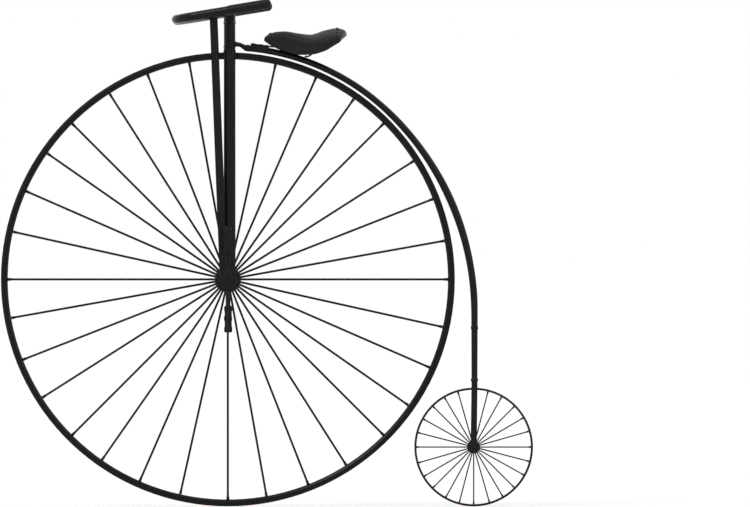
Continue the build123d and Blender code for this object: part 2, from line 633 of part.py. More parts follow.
# ---------------------------------------------------------------- rear fork, axle and step
blade_outer_y = REAR_BLADE_Y + REAR_BLADE_THICK / 2
blade_inner_y = REAR_BLADE_Y - REAR_BLADE_THICK / 2
with BuildPart() as rear_fork_crown:
    with BuildSketch(level(REAR_CROWN_BOTTOM, TAIL_X)):
        RectangleRounded(REAR_BLADE_WIDTH, 2 * blade_outer_y, REAR_CROWN_CORNER)
    extrude(amount=REAR_CROWN_THICK)
save(rear_fork_crown.part, "rear_fork_crown")

blade_top = REAR_CROWN_BOTTOM - SEAT + REAR_HUB_DROP
blade_half = REAR_BLADE_WIDTH / 2
for name, side in SIDES.items():
    with BuildPart() as rear_blade:
        with BuildSketch(across(0, 0, side * blade_inner_y, REAR_HUB)):
            with BuildLine():
                Polyline(
                    (-blade_half, 0),
                    (blade_half, 0),
                    (TAIL_BEHIND + blade_half, -blade_top),
                    (TAIL_BEHIND - blade_half, -blade_top),
                    close=True,
                )
            make_face()
            Circle(REAR_EYE_DIAMETER / 2)
            Circle(REAR_AXLE_DIAMETER / 2 + SEAT, mode=Mode.SUBTRACT)
        extrude(amount=side * REAR_BLADE_THICK)
    save(rear_blade.part, f"rear_fork_blade_{name}")

    with BuildPart() as nut:
        with BuildSketch(across(0, 0, side * (blade_outer_y + SEAT), REAR_HUB)):
            RegularPolygon(NUT_WIDTH / 2, 6, major_radius=False)
            Circle(REAR_AXLE_DIAMETER / 2 + SEAT, mode=Mode.SUBTRACT)
        extrude(amount=side * NUT_THICK)
    save(nut.part, f"rear_axle_nut_{name}")

rear_axle_half = blade_outer_y + NUT_THICK + REAR_AXLE_STUB
cone_inner_y = REAR_FLANGE_Y + REAR_FLANGE_THICK / 2 + RUN
with BuildPart() as rear_axle:
    with BuildSketch(across(0, 0, -rear_axle_half, REAR_HUB)):
        Circle(REAR_AXLE_DIAMETER / 2)
    extrude(amount=2 * rear_axle_half)
    for side in SIDES.values():
        with BuildSketch(across(0, 0, side * cone_inner_y, REAR_HUB)):
            Circle(REAR_BARREL_DIAMETER / 2)
        extrude(amount=side * (blade_inner_y - SEAT - cone_inner_y))
save(rear_axle.part, "rear_axle")

step_z = REAR_CROWN_TOP + STEP_OVER_CROWN
step_end_y = -BACKBONE_WAIST / 2 - STEP_LENGTH
with BuildPart() as mounting_step:
    with BuildSketch(across(TAIL_X, step_z, step_end_y)):
        Circle(STEP_DIAMETER / 2)
    extrude(amount=-step_end_y)
    with BuildSketch(across(TAIL_X, step_z, step_end_y)):
        Circle(STEP_DIAMETER / 2 + STEP_LIP)
    extrude(amount=STEP_LIP_THICK)
    with BuildSketch(level(step_z, TAIL_X)):
        Circle(BACKBONE_WAIST / 2 + SEAT)
    extrude(amount=STEP_DIAMETER, both=True, mode=Mode.SUBTRACT)
save(mounting_step.part, "mounting_step")

# ---------------------------------------------------------------- rear wheel
rear_tyre_inner = REAR_RADIUS - REAR_TYRE_DEPTH
tyre_half = REAR_TYRE_WIDTH / 2
with BuildPart() as rear_tyre:
    with BuildSketch(REAR_AXIAL):
        with BuildLine():
            crown = (0, REAR_RADIUS)
            ThreePointArc((-tyre_half, rear_tyre_inner), crown, (tyre_half, rear_tyre_inner))
            Line((tyre_half, rear_tyre_inner), (-tyre_half, rear_tyre_inner))
        make_face()
    revolve(axis=REAR_SPIN)
save(rear_tyre.part, "rear_tyre")

rear_rim_inner = rear_tyre_inner - SEAT - REAR_RIM_THICK
with BuildPart() as rear_rim:
    with BuildSketch(REAR_AXIAL):
        with Locations((0, rear_rim_inner + REAR_RIM_THICK / 2)):
            Rectangle(REAR_RIM_WIDTH, REAR_RIM_THICK)
    revolve(axis=REAR_SPIN)
save(rear_rim.part, "rear_rim")

rear_hub = hub_shell(
    REAR_HUB, REAR_BARREL_DIAMETER, REAR_FLANGE_DIAMETER, REAR_FLANGE_Y,
    REAR_FLANGE_THICK, REAR_AXLE_DIAMETER,
)
save(rear_hub, "rear_hub")

rear_spokes = spoke_set(
    REAR_HUB, REAR_SPOKE_TURNS, REAR_FLANGE_DIAMETER / 2, REAR_FLANGE_Y,
    rear_rim_inner, REAR_SPOKE_RIM_Y,
    REAR_SPOKE_DIAMETER, REAR_NIPPLE_DIAMETER, REAR_NIPPLE_LENGTH,
)
save(rear_spokes, "rear_spokes")

# ---------------------------------------------------------------- spring
perch_x, perch_z = polar(BACKBONE_TOP, PERCH_AT)
PERCH = Plane(
    origin=place(perch_x, 0, perch_z),
    x_dir=heading_at(PERCH_AT),
    z_dir=(cos(radians(PERCH_AT)), 0, sin(radians(PERCH_AT))),
)
with BuildPart() as spring_perch:
    with BuildSketch(PERCH.offset(PERCH_RISE - SEAT)):
        RectangleRounded(PERCH_LENGTH, PERCH_WIDTH, PERCH_CORNER)
    extrude(amount=-PERCH_DEPTH)
    with BuildSketch(AXIAL):
        with Locations((0, BACKBONE_RADIUS)):
            Ellipse(BACKBONE_WIDTH / 2 + SEAT, BACKBONE_DEPTH / 2 + SEAT)
    revolve(axis=SPIN, mode=Mode.SUBTRACT)
save(spring_perch.part, "spring_perch")

with BuildPart() as saddle_spring:
    with BuildSketch(SIDE):
        with BuildLine():
            Line(leaf_tip, bend_one)
            ThreePointArc(bend_one, bend_one_middle, bend_two)
            ThreePointArc(bend_two, bend_two_middle, bend_end)
            Line(bend_end, scroll_top)
            ThreePointArc(scroll_top, scroll_back, scroll_end)
        trace(line_width=SPRING_LEAF)
    extrude(amount=SPRING_WIDTH / 2, both=True)
save(saddle_spring.part, "saddle_spring")

with BuildPart() as saddle_clamp:
    with BuildSketch(level(CLAMP_BOTTOM, SADDLE_CLAMP_AT)):
        RectangleRounded(SADDLE_CLAMP_LENGTH, SADDLE_CLAMP_WIDTH, SADDLE_CLAMP_CORNER)
    extrude(amount=SADDLE_CLAMP_HEIGHT)
    with BuildSketch(upright(SADDLE_CLAMP_AT, RAIL_HEIGHT)):
        with Locations((-RAIL_Y, 0), (RAIL_Y, 0)):
            Circle(RAIL_DIAMETER / 2 + SEAT)
    extrude(amount=SADDLE_CLAMP_LENGTH, both=True, mode=Mode.SUBTRACT)
save(saddle_clamp.part, "saddle_clamp")


# ---------------------------------------------------------------- saddle
def arch(section, inset):
    """The arch of a section's outer face, or so far inside it: foot, edge, top, edge, foot."""
    _, half, top, drop, bottom, stands_out = section
    edge = top - drop - inset / 2
    foot = half + stands_out - inset
    return [(-foot, bottom), (inset - half, edge), (0, top - inset), (half - inset, edge), (foot, bottom)]


with BuildPart() as saddle_leather:
    for section in SADDLE_SECTIONS.values():
        outer = arch(section, 0)
        inner = arch(section, LEATHER)
        with BuildSketch(upright(SEAT_BEHIND_HUB + section[0], SEAT_ABOVE_HUB)):
            with BuildLine():
                for face in (outer, inner):
                    Line(face[0], face[1])
                    ThreePointArc(face[1], face[2], face[3])
                    Line(face[3], face[4])
                Line(outer[0], inner[0])
                Line(outer[4], inner[4])
            make_face()
    loft()
save(saddle_leather.part, "saddle_leather")

plate_bottom = CLAMP_BOTTOM + RUN - SEAT_ABOVE_HUB
for name in ("nose_plate", "cantle_plate"):
    section = SADDLE_SECTIONS[name]
    _, left, top, right, _ = arch(section, LEATHER / 2)
    with BuildPart() as plate:
        with BuildSketch(upright(SEAT_BEHIND_HUB + section[0], SEAT_ABOVE_HUB)):
            with BuildLine():
                Line((left[0], plate_bottom), left)
                ThreePointArc(left, top, right)
                Line(right, (right[0], plate_bottom))
                Line((right[0], plate_bottom), (left[0], plate_bottom))
            make_face()
        extrude(amount=PLATE_THICK / 2, both=True)
        add(saddle_leather.part, mode=Mode.SUBTRACT)
    save(plate.part.solids().sort_by(SortBy.VOLUME)[-1], f"saddle_{name}")

rail_front = SEAT_BEHIND_HUB + SADDLE_SECTIONS["nose_plate"][0] + PLATE_THICK / 2
rail_rear = SEAT_BEHIND_HUB + SADDLE_SECTIONS["cantle_plate"][0] - PLATE_THICK / 2
with BuildPart() as saddle_rails:
    with BuildSketch(upright(rail_front, RAIL_HEIGHT)):
        with Locations((-RAIL_Y, 0), (RAIL_Y, 0)):
            Circle(RAIL_DIAMETER / 2)
    extrude(amount=rail_rear - rail_front)
save(saddle_rails.part, "saddle_rails")
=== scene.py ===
"""The look of the penny farthing bicycle: its fittings, materials, light and camera.

Places are in millimetres from the front hub's middle, +X rearwards, -Y to its left and +Z up.
They become metres in the frame when a mesh is made.
"""

import json
from math import atan2, cos, pi, radians, sin, sqrt, tau

import bmesh
import bpy
from mathutils import Matrix, Vector


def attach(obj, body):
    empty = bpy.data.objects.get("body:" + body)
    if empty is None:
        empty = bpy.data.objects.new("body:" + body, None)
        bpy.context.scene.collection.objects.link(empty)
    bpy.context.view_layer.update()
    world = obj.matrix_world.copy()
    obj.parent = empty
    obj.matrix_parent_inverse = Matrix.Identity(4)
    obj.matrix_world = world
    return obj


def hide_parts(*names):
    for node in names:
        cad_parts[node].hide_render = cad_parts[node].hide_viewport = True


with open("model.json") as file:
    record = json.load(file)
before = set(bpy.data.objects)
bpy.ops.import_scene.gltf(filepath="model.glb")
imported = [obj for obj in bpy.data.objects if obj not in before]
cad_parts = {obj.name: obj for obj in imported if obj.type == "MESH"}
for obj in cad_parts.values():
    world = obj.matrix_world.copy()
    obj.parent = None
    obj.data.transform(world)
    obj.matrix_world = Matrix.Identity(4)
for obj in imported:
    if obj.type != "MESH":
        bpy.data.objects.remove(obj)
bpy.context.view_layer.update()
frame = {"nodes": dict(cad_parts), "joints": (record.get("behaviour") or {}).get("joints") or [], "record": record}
JOINTS = {joint["name"]: Vector(joint["pos_m"]) for joint in frame["joints"]}
HUB = JOINTS["front_wheel_spin"]
MM = 0.001
SIDES = {"left": -1, "right": 1}

# ---------------------------------------------------------------- sizes shared with the solids
FRONT_RADIUS, REAR_RADIUS = 711.2, 186.0
REAR = Vector((770.0, 0.0, -525.2))  # the rear wheel's middle
FRONT_TURNS = (0.0, 12.5, 23.6, 34.9)  # of the spokes in each eighth of a wheel, in degrees
REAR_TURNS = (0.0, 14.5, 29.1)
FRONT_FLANGE, FRONT_FLANGE_Y = 36.0, 37.0
REAR_FLANGE, REAR_FLANGE_Y = 17.0, 13.0
FRONT_AXLE, REAR_AXLE = 10.0, 5.0    # radii
AXLE_END = 101.5
STEER_X = 5.6                # the steering's axis
CROWN_BOTTOM, CROWN_TOP = 716.7, 725.2
BLADE_Y, BLADE_SPREAD = 32.0, 28.0   # a blade's place under the crown, and how far it spreads to the axle
BLADE_LONG, BLADE_WIDE = 18.0, 7.0   # half sizes of a blade's section under the crown
SOCKET_BOTTOM, SOCKET_TOP, SOCKET_RADIUS = 725.7, 805.7, 18.0
STEERER = 10.1               # the bore for the steerer, a radius
LUG_BOTTOM = 806.2
BAR_HEIGHT, BAR_TILT = 839.7, radians(9.4)
STAY_CLIP_Y = 75.1           # where a stay's clip lies on the handlebar
CRANK_INNER, CRANK_OUTER, CRANK_THROW = 84.5, 98.5, 125.0
PEDAL_INNER, PEDAL_OUTER = 104.5, 188.5
BLOCK_OFFSET = 32.0          # from a pedal's spindle to the rods through its blocks
BACKBONE_RADIUS, BACKBONE_TOP = 726.7, 736.7
BACKBONE_WIDE, BACKBONE_DEEP = 13.0, 10.0  # half sizes of its section at the neck
NECK_Z, NECK_END_X = 735.7, 59.6
TAIL_X = 772.5               # the backbone's straight end
REAR_CROWN_BOTTOM, REAR_CROWN_TOP = -333.7, -318.7
STEP_Z = -151.7
SEAT = Vector((258.0, 0.0, 767.376))
RAIL_Z, CLAMP_X = 744.276, 222.0
RAIL_ENDS = (129.9, 344.1)
PERCH_AT = radians(82.2)     # above the hub's level

X, Y, Z = Vector((1, 0, 0)), Vector((0, 1, 0)), Vector((0, 0, 1))


# ---------------------------------------------------------------- mesh making
def frame_of(origin, axis, up=None):
    """A matrix whose third axis runs along an axis and whose second one leans to up."""
    w = Vector(axis).normalized()
    up = Vector(up) if up else (Z if abs(w.z) < 0.9 else X)
    u = up.cross(w).normalized()
    v = w.cross(u)
    turn = Matrix((u, v, w)).transposed().to_4x4()
    return Matrix.Translation(Vector(origin)) @ turn


def rings(bm, loops, closed=False):
    """Skins equal loops of points, and caps both ends or joins the last loop to the first."""
    made = [[bm.verts.new(point) for point in loop] for loop in loops]
    count = len(loops[0])
    pairs = list(zip(made, made[1:]))
    if closed:
        pairs.append((made[-1], made[0]))
    for low, high in pairs:
        for i in range(count):
            j = (i + 1) % count
            bm.faces.new((low[i], low[j], high[j], high[i]))
    if not closed:
        bm.faces.new(list(reversed(made[0])))
        bm.faces.new(made[-1])


def turned(origin, axis, profile, sides, up=None):
    """A loop of points round an axis for each (radius, along) pair of a profile."""
    place = frame_of(origin, axis, up)
    return [
        [
            place @ Vector((radius * cos(tau * i / sides), radius * sin(tau * i / sides), along))
            for i in range(sides)
        ] for radius, along in profile
    ]


def lathe(bm, origin, axis, profile, sides=40, up=None):
    """Turns (radius, along) pairs round an axis. The first and last ones close with a cap."""
    rings(bm, turned(origin, axis, profile, sides, up))


def tube_lathe(bm, origin, axis, profile, sides=40):
    """Turns a closed (radius, along) outline round an axis, as for a ring or a bored piece."""
    rings(bm, turned(origin, axis, profile, sides), closed=True)


def mirrored(half):
    """A profile carried on past the middle as its own mirror image."""
    return half + [(radius, -along) for radius, along in reversed(half)]


def rounded_box(half_x, half_y, radius, steps):
    """An outline with round corners, whose middles lie at the half sizes."""
    points = []
    for k in range(4):
        corner_x = half_x * (1 if k in (0, 3) else -1)
        corner_y = half_y * (1 if k < 2 else -1)
        for j in range(steps + 1):
            turn = radians(90 * k + 90 * j / steps)
            points.append((corner_x + radius * cos(turn), corner_y + radius * sin(turn)))
    return points


def oval(middle, first, second, sides):
    """A loop of points round a middle, on an oval with those two half axes."""
    return [
        middle + first * cos(tau * k / sides) + second * sin(tau * k / sides) for k in range(sides)
    ]


def slab(bm, origin, axis, outline, start, end, chamfer, up=None):
    """A plate of an outline, from start to end along an axis, with chamfered edges."""
    place = frame_of(origin, axis, up)
    middle = Vector((sum(p[0] for p in outline), sum(p[1] for p in outline))) / len(outline)

    def loop(inset, along):
        points = []
        count = len(outline)
        for i in range(count):
            before, here, after = (Vector(outline[(i + k) % count]) for k in (-1, 0, 1))
            run = (after - before).normalized()
            normal = Vector((run.y, -run.x))
            if normal.dot(here - middle) < 0:
                normal = -normal
            point = here - normal * inset
            points.append(place @ Vector((point.x, point.y, along)))
        return points

    sign = 1 if end > start else -1
    rings(bm, [
        loop(chamfer, start), loop(0, start + sign * chamfer),
        loop(0, end - sign * chamfer), loop(chamfer, end),
    ])


WASHER = 1.3                 # how thick the washer under a nut is


def hex_nut(bm, origin, axis, flats, height):
    """A six-sided nut or bolt head with its corners turned off, on a washer."""
    corner, washer = flats / sqrt(3), flats * 0.66
    lathe(bm, origin, axis, [
        (flats * 0.62, 0), (washer, 0.3), (washer, WASHER - 0.3), (flats * 0.62, WASHER),
    ], 28)
    lathe(bm, origin, axis, [
        (corner * 0.9, WASHER), (corner, WASHER + height * 0.14),
        (corner, WASHER + height * 0.8), (corner * 0.84, WASHER + height),
    ], 6)


def threaded_end(bm, origin, axis, radius, length, pitch=1.2):
    """A screw's end, with the crests of its thread as rings and a chamfered tip."""
    profile = [(radius * 0.86, 0)]
    along = 0.0
    while along < length - pitch:
        profile += [(radius * 0.88, along + pitch * 0.25), (radius * 0.98, along + pitch * 0.75)]
        along += pitch
    profile += [(radius * 0.9, length - 0.4), (radius * 0.7, length)]
    lathe(bm, origin, axis, profile, 24)


def dome(bm, origin, axis, radius, height, sides=18):
    """A rivet's or a cap's round head."""
    profile = [(radius, 0)]
    for k in range(1, 5):
        turn = radians(18 * k)
        profile.append((radius * cos(turn), height * sin(turn)))
    profile.append((radius * 0.06, height))
    lathe(bm, origin, axis, profile, sides)


def screw(bm, origin, axis, radius, height, up=None):
    """A cheese-head screw with a slot across it."""
    place = frame_of(origin, axis, up)
    slot, depth, steps = radius * 0.18, height * 0.45, 10
    lathe(bm, origin, axis, [
        (radius * 0.96, 0), (radius, height * 0.12), (radius, height - depth),
    ], 24)
    first = atan2(slot, sqrt(radius**2 - slot**2))
    for sign in (-1, 1):
        points = []
        for k in range(steps + 1):
            turn = first + (pi - 2 * first) * k / steps
            points.append((radius * cos(turn), sign * radius * sin(turn)))
        if sign < 0:
            points.reverse()
        rings(bm, [
            [place @ Vector((p[0], p[1], height - depth)) for p in points],
            [place @ Vector((p[0], p[1], height - radius * 0.08)) for p in points],
            [place @ Vector((p[0] * 0.95, p[1] * 0.95 + sign * slot * 0.05, height)) for p in points],
        ])


def oiler(bm, origin, axis, radius):
    """A small oil cup with a domed lid."""
    lathe(bm, origin, axis, [
        (radius * 0.7, 0), (radius * 0.7, radius * 0.5), (radius, radius * 0.6),
        (radius, radius * 1.2), (radius * 0.86, radius * 1.3), (radius * 0.95, radius * 1.36),
        (radius * 0.9, radius * 1.6), (radius * 0.5, radius * 1.85), (radius * 0.08, radius * 1.92),
    ], 24)


def finish(bm, name, body, slot, material, *nodes, smooth=38):
    """Makes the piece from a mesh in millimetres, and gives it its body and material; the slot argument is not
    used.
    """
    bmesh.ops.remove_doubles(bm, verts=bm.verts, dist=0.001)
    bmesh.ops.recalc_face_normals(bm, faces=bm.faces)
    bmesh.ops.transform(bm, matrix=Matrix.Translation(HUB) @ Matrix.Scale(MM, 4), verts=bm.verts)
    mesh = bpy.data.meshes.new(name)
    bm.to_mesh(mesh)
    bm.free()
    mesh.shade_smooth()
    mesh.set_sharp_from_angle(angle=radians(smooth))
    mesh.materials.append(material)
    piece = bpy.data.objects.new(name, mesh)
    bpy.context.scene.collection.objects.link(piece)
    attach(piece, body)
    if nodes:
        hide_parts(*nodes)
    return piece


# ---------------------------------------------------------------- materials
class Nodes:
    """A material's nodes, added one call at a time."""

    def __init__(self, name):
        self.material = bpy.data.materials.new(name)
        self.material.use_nodes = True
        self.tree = self.material.node_tree
        self.shader = self.tree.nodes["Principled BSDF"]
        self.place = self.add("ShaderNodeTexCoord").outputs["Object"]

    def add(self, kind, inputs=(), **settings):
        node = self.tree.nodes.new(kind)
        for key, value in settings.items():
            setattr(node, key, value)
        for key, value in dict(inputs).items():
            if isinstance(value, bpy.types.NodeSocket):
                self.tree.links.new(value, node.inputs[key])
            else:
                node.inputs[key].default_value = value
        return node

    def noise(self, scale, detail=3.0, rough=0.55, place=None):
        return self.add("ShaderNodeTexNoise", {
            "Vector": place or self.place, "Scale": scale, "Detail": detail, "Roughness": rough,
        }).outputs["Fac"]

    def spread(self, value, low, high, to_low, to_high):
        return self.add("ShaderNodeMapRange", {
            "Value": value, "From Min": low, "From Max": high, "To Min": to_low, "To Max": to_high,
        }).outputs["Result"]

    def math(self, operation, first, second=0.0):
        return self.add("ShaderNodeMath", {0: first, 1: second}, operation=operation).outputs[0]

    def mix(self, factor, first, second):
        node = self.add("ShaderNodeMix", data_type="RGBA")
        for socket, value in ((0, factor), (6, first), (7, second)):
            if isinstance(value, bpy.types.NodeSocket):
                self.tree.links.new(value, node.inputs[socket])
            else:
                node.inputs[socket].default_value = value if socket == 0 else (*value, 1.0)
        return node.outputs[2]

    def stretched(self, scale):
        return self.add("ShaderNodeMapping", {"Vector": self.place, "Scale": scale}).outputs[0]

    def radius(self, centre):
        """The distance from an axle through that centre."""
        away = self.add("ShaderNodeVectorMath", {0: self.place, 1: centre}, operation="SUBTRACT")
        flat = self.add("ShaderNodeVectorMath", {0: away.outputs[0], 1: (1, 0, 1)}, operation="MULTIPLY")
        return self.add("ShaderNodeVectorMath", {0: flat.outputs[0]}, operation="LENGTH").outputs["Value"]

    def bump(self, height, strength, distance, normal=None):
        inputs = {"Height": height, "Strength": strength, "Distance": distance}
        if normal:
            inputs["Normal"] = normal
        return self.add("ShaderNodeBump", inputs).outputs["Normal"]

    def shade(self, **values):
        """Sets the shader's sockets, by their names with spaces for underscores."""
        for key, value in values.items():
            socket = self.shader.inputs[key.replace("_", " ").title().replace("Ior", "IOR")]
            if isinstance(value, bpy.types.NodeSocket):
                self.tree.links.new(value, socket)
            else:
                socket.default_value = value
        return self.material


def enamel():
    """Stove enamel over brazed steel: deep black, a little uneven, with fine rubbed marks."""
    n = Nodes("stove_enamel")
    broad = n.noise(9.0, 4.0)
    rubbed = n.spread(n.noise(1.0, 5.0, 0.7, n.stretched((160, 160, 22))), 0.62, 0.78, 0.0, 1.0)
    colour = n.mix(broad, (0.0028, 0.0028, 0.0031), (0.0055, 0.0055, 0.006))
    colour = n.mix(n.math("MULTIPLY", rubbed, 0.35), colour, (0.017, 0.016, 0.015))
    rough = n.math("ADD", n.spread(broad, 0.3, 0.7, 0.2, 0.3), n.math("MULTIPLY", rubbed, 0.14))
    return n.shade(
        base_color=colour, roughness=rough, specular_ior_level=0.17,
        normal=n.bump(n.noise(320.0, 2.0), 0.1, 0.0004),
    )


def blacked_steel():
    """Oil-blacked steel, with fine turning marks and brighter rubbed patches."""
    n = Nodes("blacked_steel")
    broad = n.noise(38.0, 4.0)
    grain = n.noise(1.0, 3.0, 0.6, n.stretched((900, 2400, 900)))
    rubbed = n.spread(n.noise(120.0, 5.0, 0.7), 0.6, 0.74, 0.0, 1.0)
    colour = n.mix(broad, (0.009, 0.009, 0.0105), (0.019, 0.0185, 0.019))
    colour = n.mix(n.math("MULTIPLY", rubbed, 0.4), colour, (0.05, 0.047, 0.044))
    rough = n.math("ADD", n.spread(grain, 0.3, 0.7, 0.26, 0.4), n.math("MULTIPLY", rubbed, 0.1))
    return n.shade(
        base_color=colour, metallic=0.85, roughness=rough, specular_ior_level=0.3,
        normal=n.bump(grain, 0.16, 0.0002),
    )


def tyre_rubber(name, centre, radius):
    """Solid rubber, with dust and fine scuffs on the band that runs on the road."""
    n = Nodes(name)
    band = n.spread(n.radius(centre), radius - 0.0035, radius - 0.0006, 0.0, 1.0)
    scuffs = n.noise(260.0, 5.0, 0.7)
    dusty = n.math("MULTIPLY", band, n.spread(scuffs, 0.42, 0.7, 0.15, 1.0))
    colour = n.mix(n.noise(30.0, 4.0), (0.0055, 0.0055, 0.0055), (0.009, 0.009, 0.0087))
    colour = n.mix(dusty, colour, (0.026, 0.0245, 0.022))
    rough = n.spread(dusty, 0.0, 1.0, 0.62, 0.9)
    fine = n.bump(n.noise(900.0, 3.0), 0.25, 0.0003)
    return n.shade(
        base_color=colour, roughness=rough, specular_ior_level=0.14,
        normal=n.bump(scuffs, 0.3, 0.0006, fine),
    )


def saddle_leather():
    """Waxed black hide: pebbled grain, creases, and edges burnished smooth."""
    n = Nodes("waxed_leather")
    edge = n.add("ShaderNodeAttribute", attribute_name="from_edge").outputs["Fac"]
    burnished = n.spread(edge, 0.002, 0.006, 1.0, 0.0)
    tooled = n.math("MULTIPLY", n.spread(edge, 0.0085, 0.0093, 0.0, 1.0),
                    n.spread(edge, 0.0101, 0.0109, 1.0, 0.0))
    cells = n.add("ShaderNodeTexVoronoi", {"Vector": n.place, "Scale": 620.0, "Randomness": 1.0},
                  feature="DISTANCE_TO_EDGE").outputs["Distance"]
    pebble = n.spread(cells, 0.0, 0.16, 0.0, 1.0)
    creases = n.noise(1.0, 6.0, 0.6, n.stretched((55, 210, 120)))
    worn = n.spread(n.noise(26.0, 5.0, 0.65), 0.5, 0.72, 0.0, 1.0)
    colour = n.mix(n.noise(18.0, 4.0), (0.005, 0.0045, 0.0042), (0.0095, 0.0084, 0.0077))
    colour = n.mix(n.math("MULTIPLY", worn, 0.4), colour, (0.02, 0.0172, 0.015))
    colour = n.mix(n.math("MULTIPLY", tooled, 0.8), colour, (0.003, 0.0028, 0.0026))
    rough = n.math("ADD", n.spread(pebble, 0.0, 1.0, 0.58, 0.42), n.math("MULTIPLY", worn, 0.08))
    rough = n.math("SUBTRACT", rough, n.math("MULTIPLY", burnished, 0.14))
    grain = n.bump(pebble, 0.32, 0.00035)
    folded = n.bump(creases, 0.4, 0.0012, grain)
    return n.shade(
        base_color=colour, roughness=rough, specular_ior_level=0.18,
        normal=n.bump(n.math("SUBTRACT", 1.0, tooled), 0.7, 0.0008, folded),
    )


def hard_rubber(name, light, rough, grain):
    """Vulcanised rubber, for the grips and the pedals' blocks."""
    n = Nodes(name)
    dull = n.noise(70.0, 4.0)
    bloom = n.spread(n.noise(180.0, 5.0, 0.7), 0.52, 0.75, 0.0, 0.5)
    colour = n.mix(dull, (light * 0.6,) * 3, (light, light, light * 0.97))
    colour = n.mix(bloom, colour, (light * 2.2, light * 2.0, light * 1.8))
    return n.shade(
        base_color=colour, roughness=n.spread(dull, 0.3, 0.7, rough, rough + 0.16),
        specular_ior_level=0.17, normal=n.bump(n.noise(grain, 3.0), 0.2, 0.0003),
    )


ENAMEL = enamel()
STEEL = blacked_steel()
LEATHER = saddle_leather()
GRIP = hard_rubber("vulcanite", 0.008, 0.34, 500.0)
PEDAL = hard_rubber("pedal_rubber", 0.012, 0.6, 1100.0)
FRONT_TYRE = tyre_rubber("front_tyre_rubber", HUB, FRONT_RADIUS * MM)
REAR_TYRE = tyre_rubber("rear_tyre_rubber", JOINTS["rear_wheel_spin"], REAR_RADIUS * MM)

slot_material = {
    "enamel": ENAMEL, "steel": STEEL, "leather": LEATHER, "grip": GRIP, "pedal_rubber": PEDAL,
    "tyre": FRONT_TYRE,
}
for subpart in frame["record"]["subparts"]:
    node = frame["nodes"][subpart["node"]]
    node.data.materials.clear()
    node.data.materials.append(slot_material[subpart["material_slot"]])
frame["nodes"]["rear_tyre"].data.materials[0] = REAR_TYRE

# How far the edges of the plain plates and blocks are eased, in millimetres.
EASED = {
    "rear_fork_crown": 1.4, "rear_fork_blade_left": 1.2, "rear_fork_blade_right": 1.2,
    "fork_stay_left": 1.3, "fork_stay_right": 1.3, "fork_crown": 1.2, "spring_perch": 1.0,
    "saddle_clamp": 1.0, "saddle_spring": 1.0, "handlebar_lug": 0.8,
}
for node, width in EASED.items():
    weld = frame["nodes"][node].modifiers.new("welded", "WELD")
    weld.merge_threshold = 0.02 * MM
    eased = frame["nodes"][node].modifiers.new("eased", "BEVEL")
    eased.width, eased.segments = width * MM, 3
    eased.limit_method, eased.angle_limit = "ANGLE", radians(40)
    eased.use_clamp_overlap = False
    eased.harden_normals = True

# ---------------------------------------------------------------- front hub and axle
bm = bmesh.new()
barrel = 18.0
lathe(bm, (0, 0, 0), Y, mirrored([
    (FRONT_AXLE, -40.0), (13.0, -40.6), (14.5, -40.6), (15.0, -40.0), (34.6, -40.0),
    (FRONT_FLANGE, -39.0), (FRONT_FLANGE, -35.2), (34.8, -34.0), (25.0, -34.0), (21.5, -31.5),
    (19.2, -27.5), (barrel, -22.0), (barrel, -12.5), (19.4, -11.8), (19.4, -9.4), (barrel, -8.7),
]), 72)
oiler(bm, Z * (barrel - 0.2), Z, radius=4.4)
finish(bm, "hub_shell", "front_wheel", "steel", STEEL, "front_hub")


def spoke_collars(bm, centre, turns, flange, flange_y, foot, collar, length):
    """A locknut round each spoke's foot, on the two flanges in turn."""
    angles = [radians(90 - eighth - turn) for eighth in range(0, 360, 45) for turn in turns]
    for count, angle in enumerate(angles):
        out = Vector((cos(angle), 0, sin(angle)))
        side = -1 if count % 2 == 0 else 1
        lathe(bm, centre + out * flange + Y * side * flange_y, out, [
            (collar, -0.6), (collar, length * 0.45), (collar * 0.9, length * 0.62), (foot, length),
        ], 6, Y)


bm = bmesh.new()
spoke_collars(bm, Vector(), FRONT_TURNS, FRONT_FLANGE, FRONT_FLANGE_Y, foot=3.6, collar=5.0, length=6.0)
finish(bm, "front_spoke_collars", "front_wheel", "steel", STEEL)

bm = bmesh.new()
lathe(bm, (0, 0, 0), Y, mirrored([
    (2.2, 2.0 - AXLE_END), (3.4, -AXLE_END), (8.6, -AXLE_END), (FRONT_AXLE, 1.2 - AXLE_END),
]), 48)
finish(bm, "driving_axle", "front_wheel", "steel", STEEL, "front_axle")


# ---------------------------------------------------------------- cranks and pedals
def crank_outline(boss, eye, throw, waist):
    """The side view of a forged crank, its arm drawn in between its boss and its eye."""
    spread = radians(38)     # half of the angle that the arm takes of the boss and of the eye
    around = tau - 2 * spread
    boss_steps, arm_steps, eye_steps = 28, 10, 20
    points = []
    for k in range(boss_steps + 1):
        turn = pi / 2 + spread + around * k / boss_steps
        points.append((boss * cos(turn), boss * sin(turn)))
    arm = []
    low, high = boss * cos(spread), throw - eye * cos(spread)
    for k in range(1, arm_steps):
        share = k / arm_steps
        swell = (2 * share - 1) ** 4
        ends = (boss * (1 - share) + eye * share) * sin(spread)
        arm.append((waist + (ends - waist) * swell, low + (high - low) * share))
    points += arm
    for k in range(eye_steps + 1):
        turn = -pi / 2 + spread + around * k / eye_steps
        points.append((eye * cos(turn), throw + eye * sin(turn)))
    points += [(-x, y) for x, y in reversed(arm)]
    return points


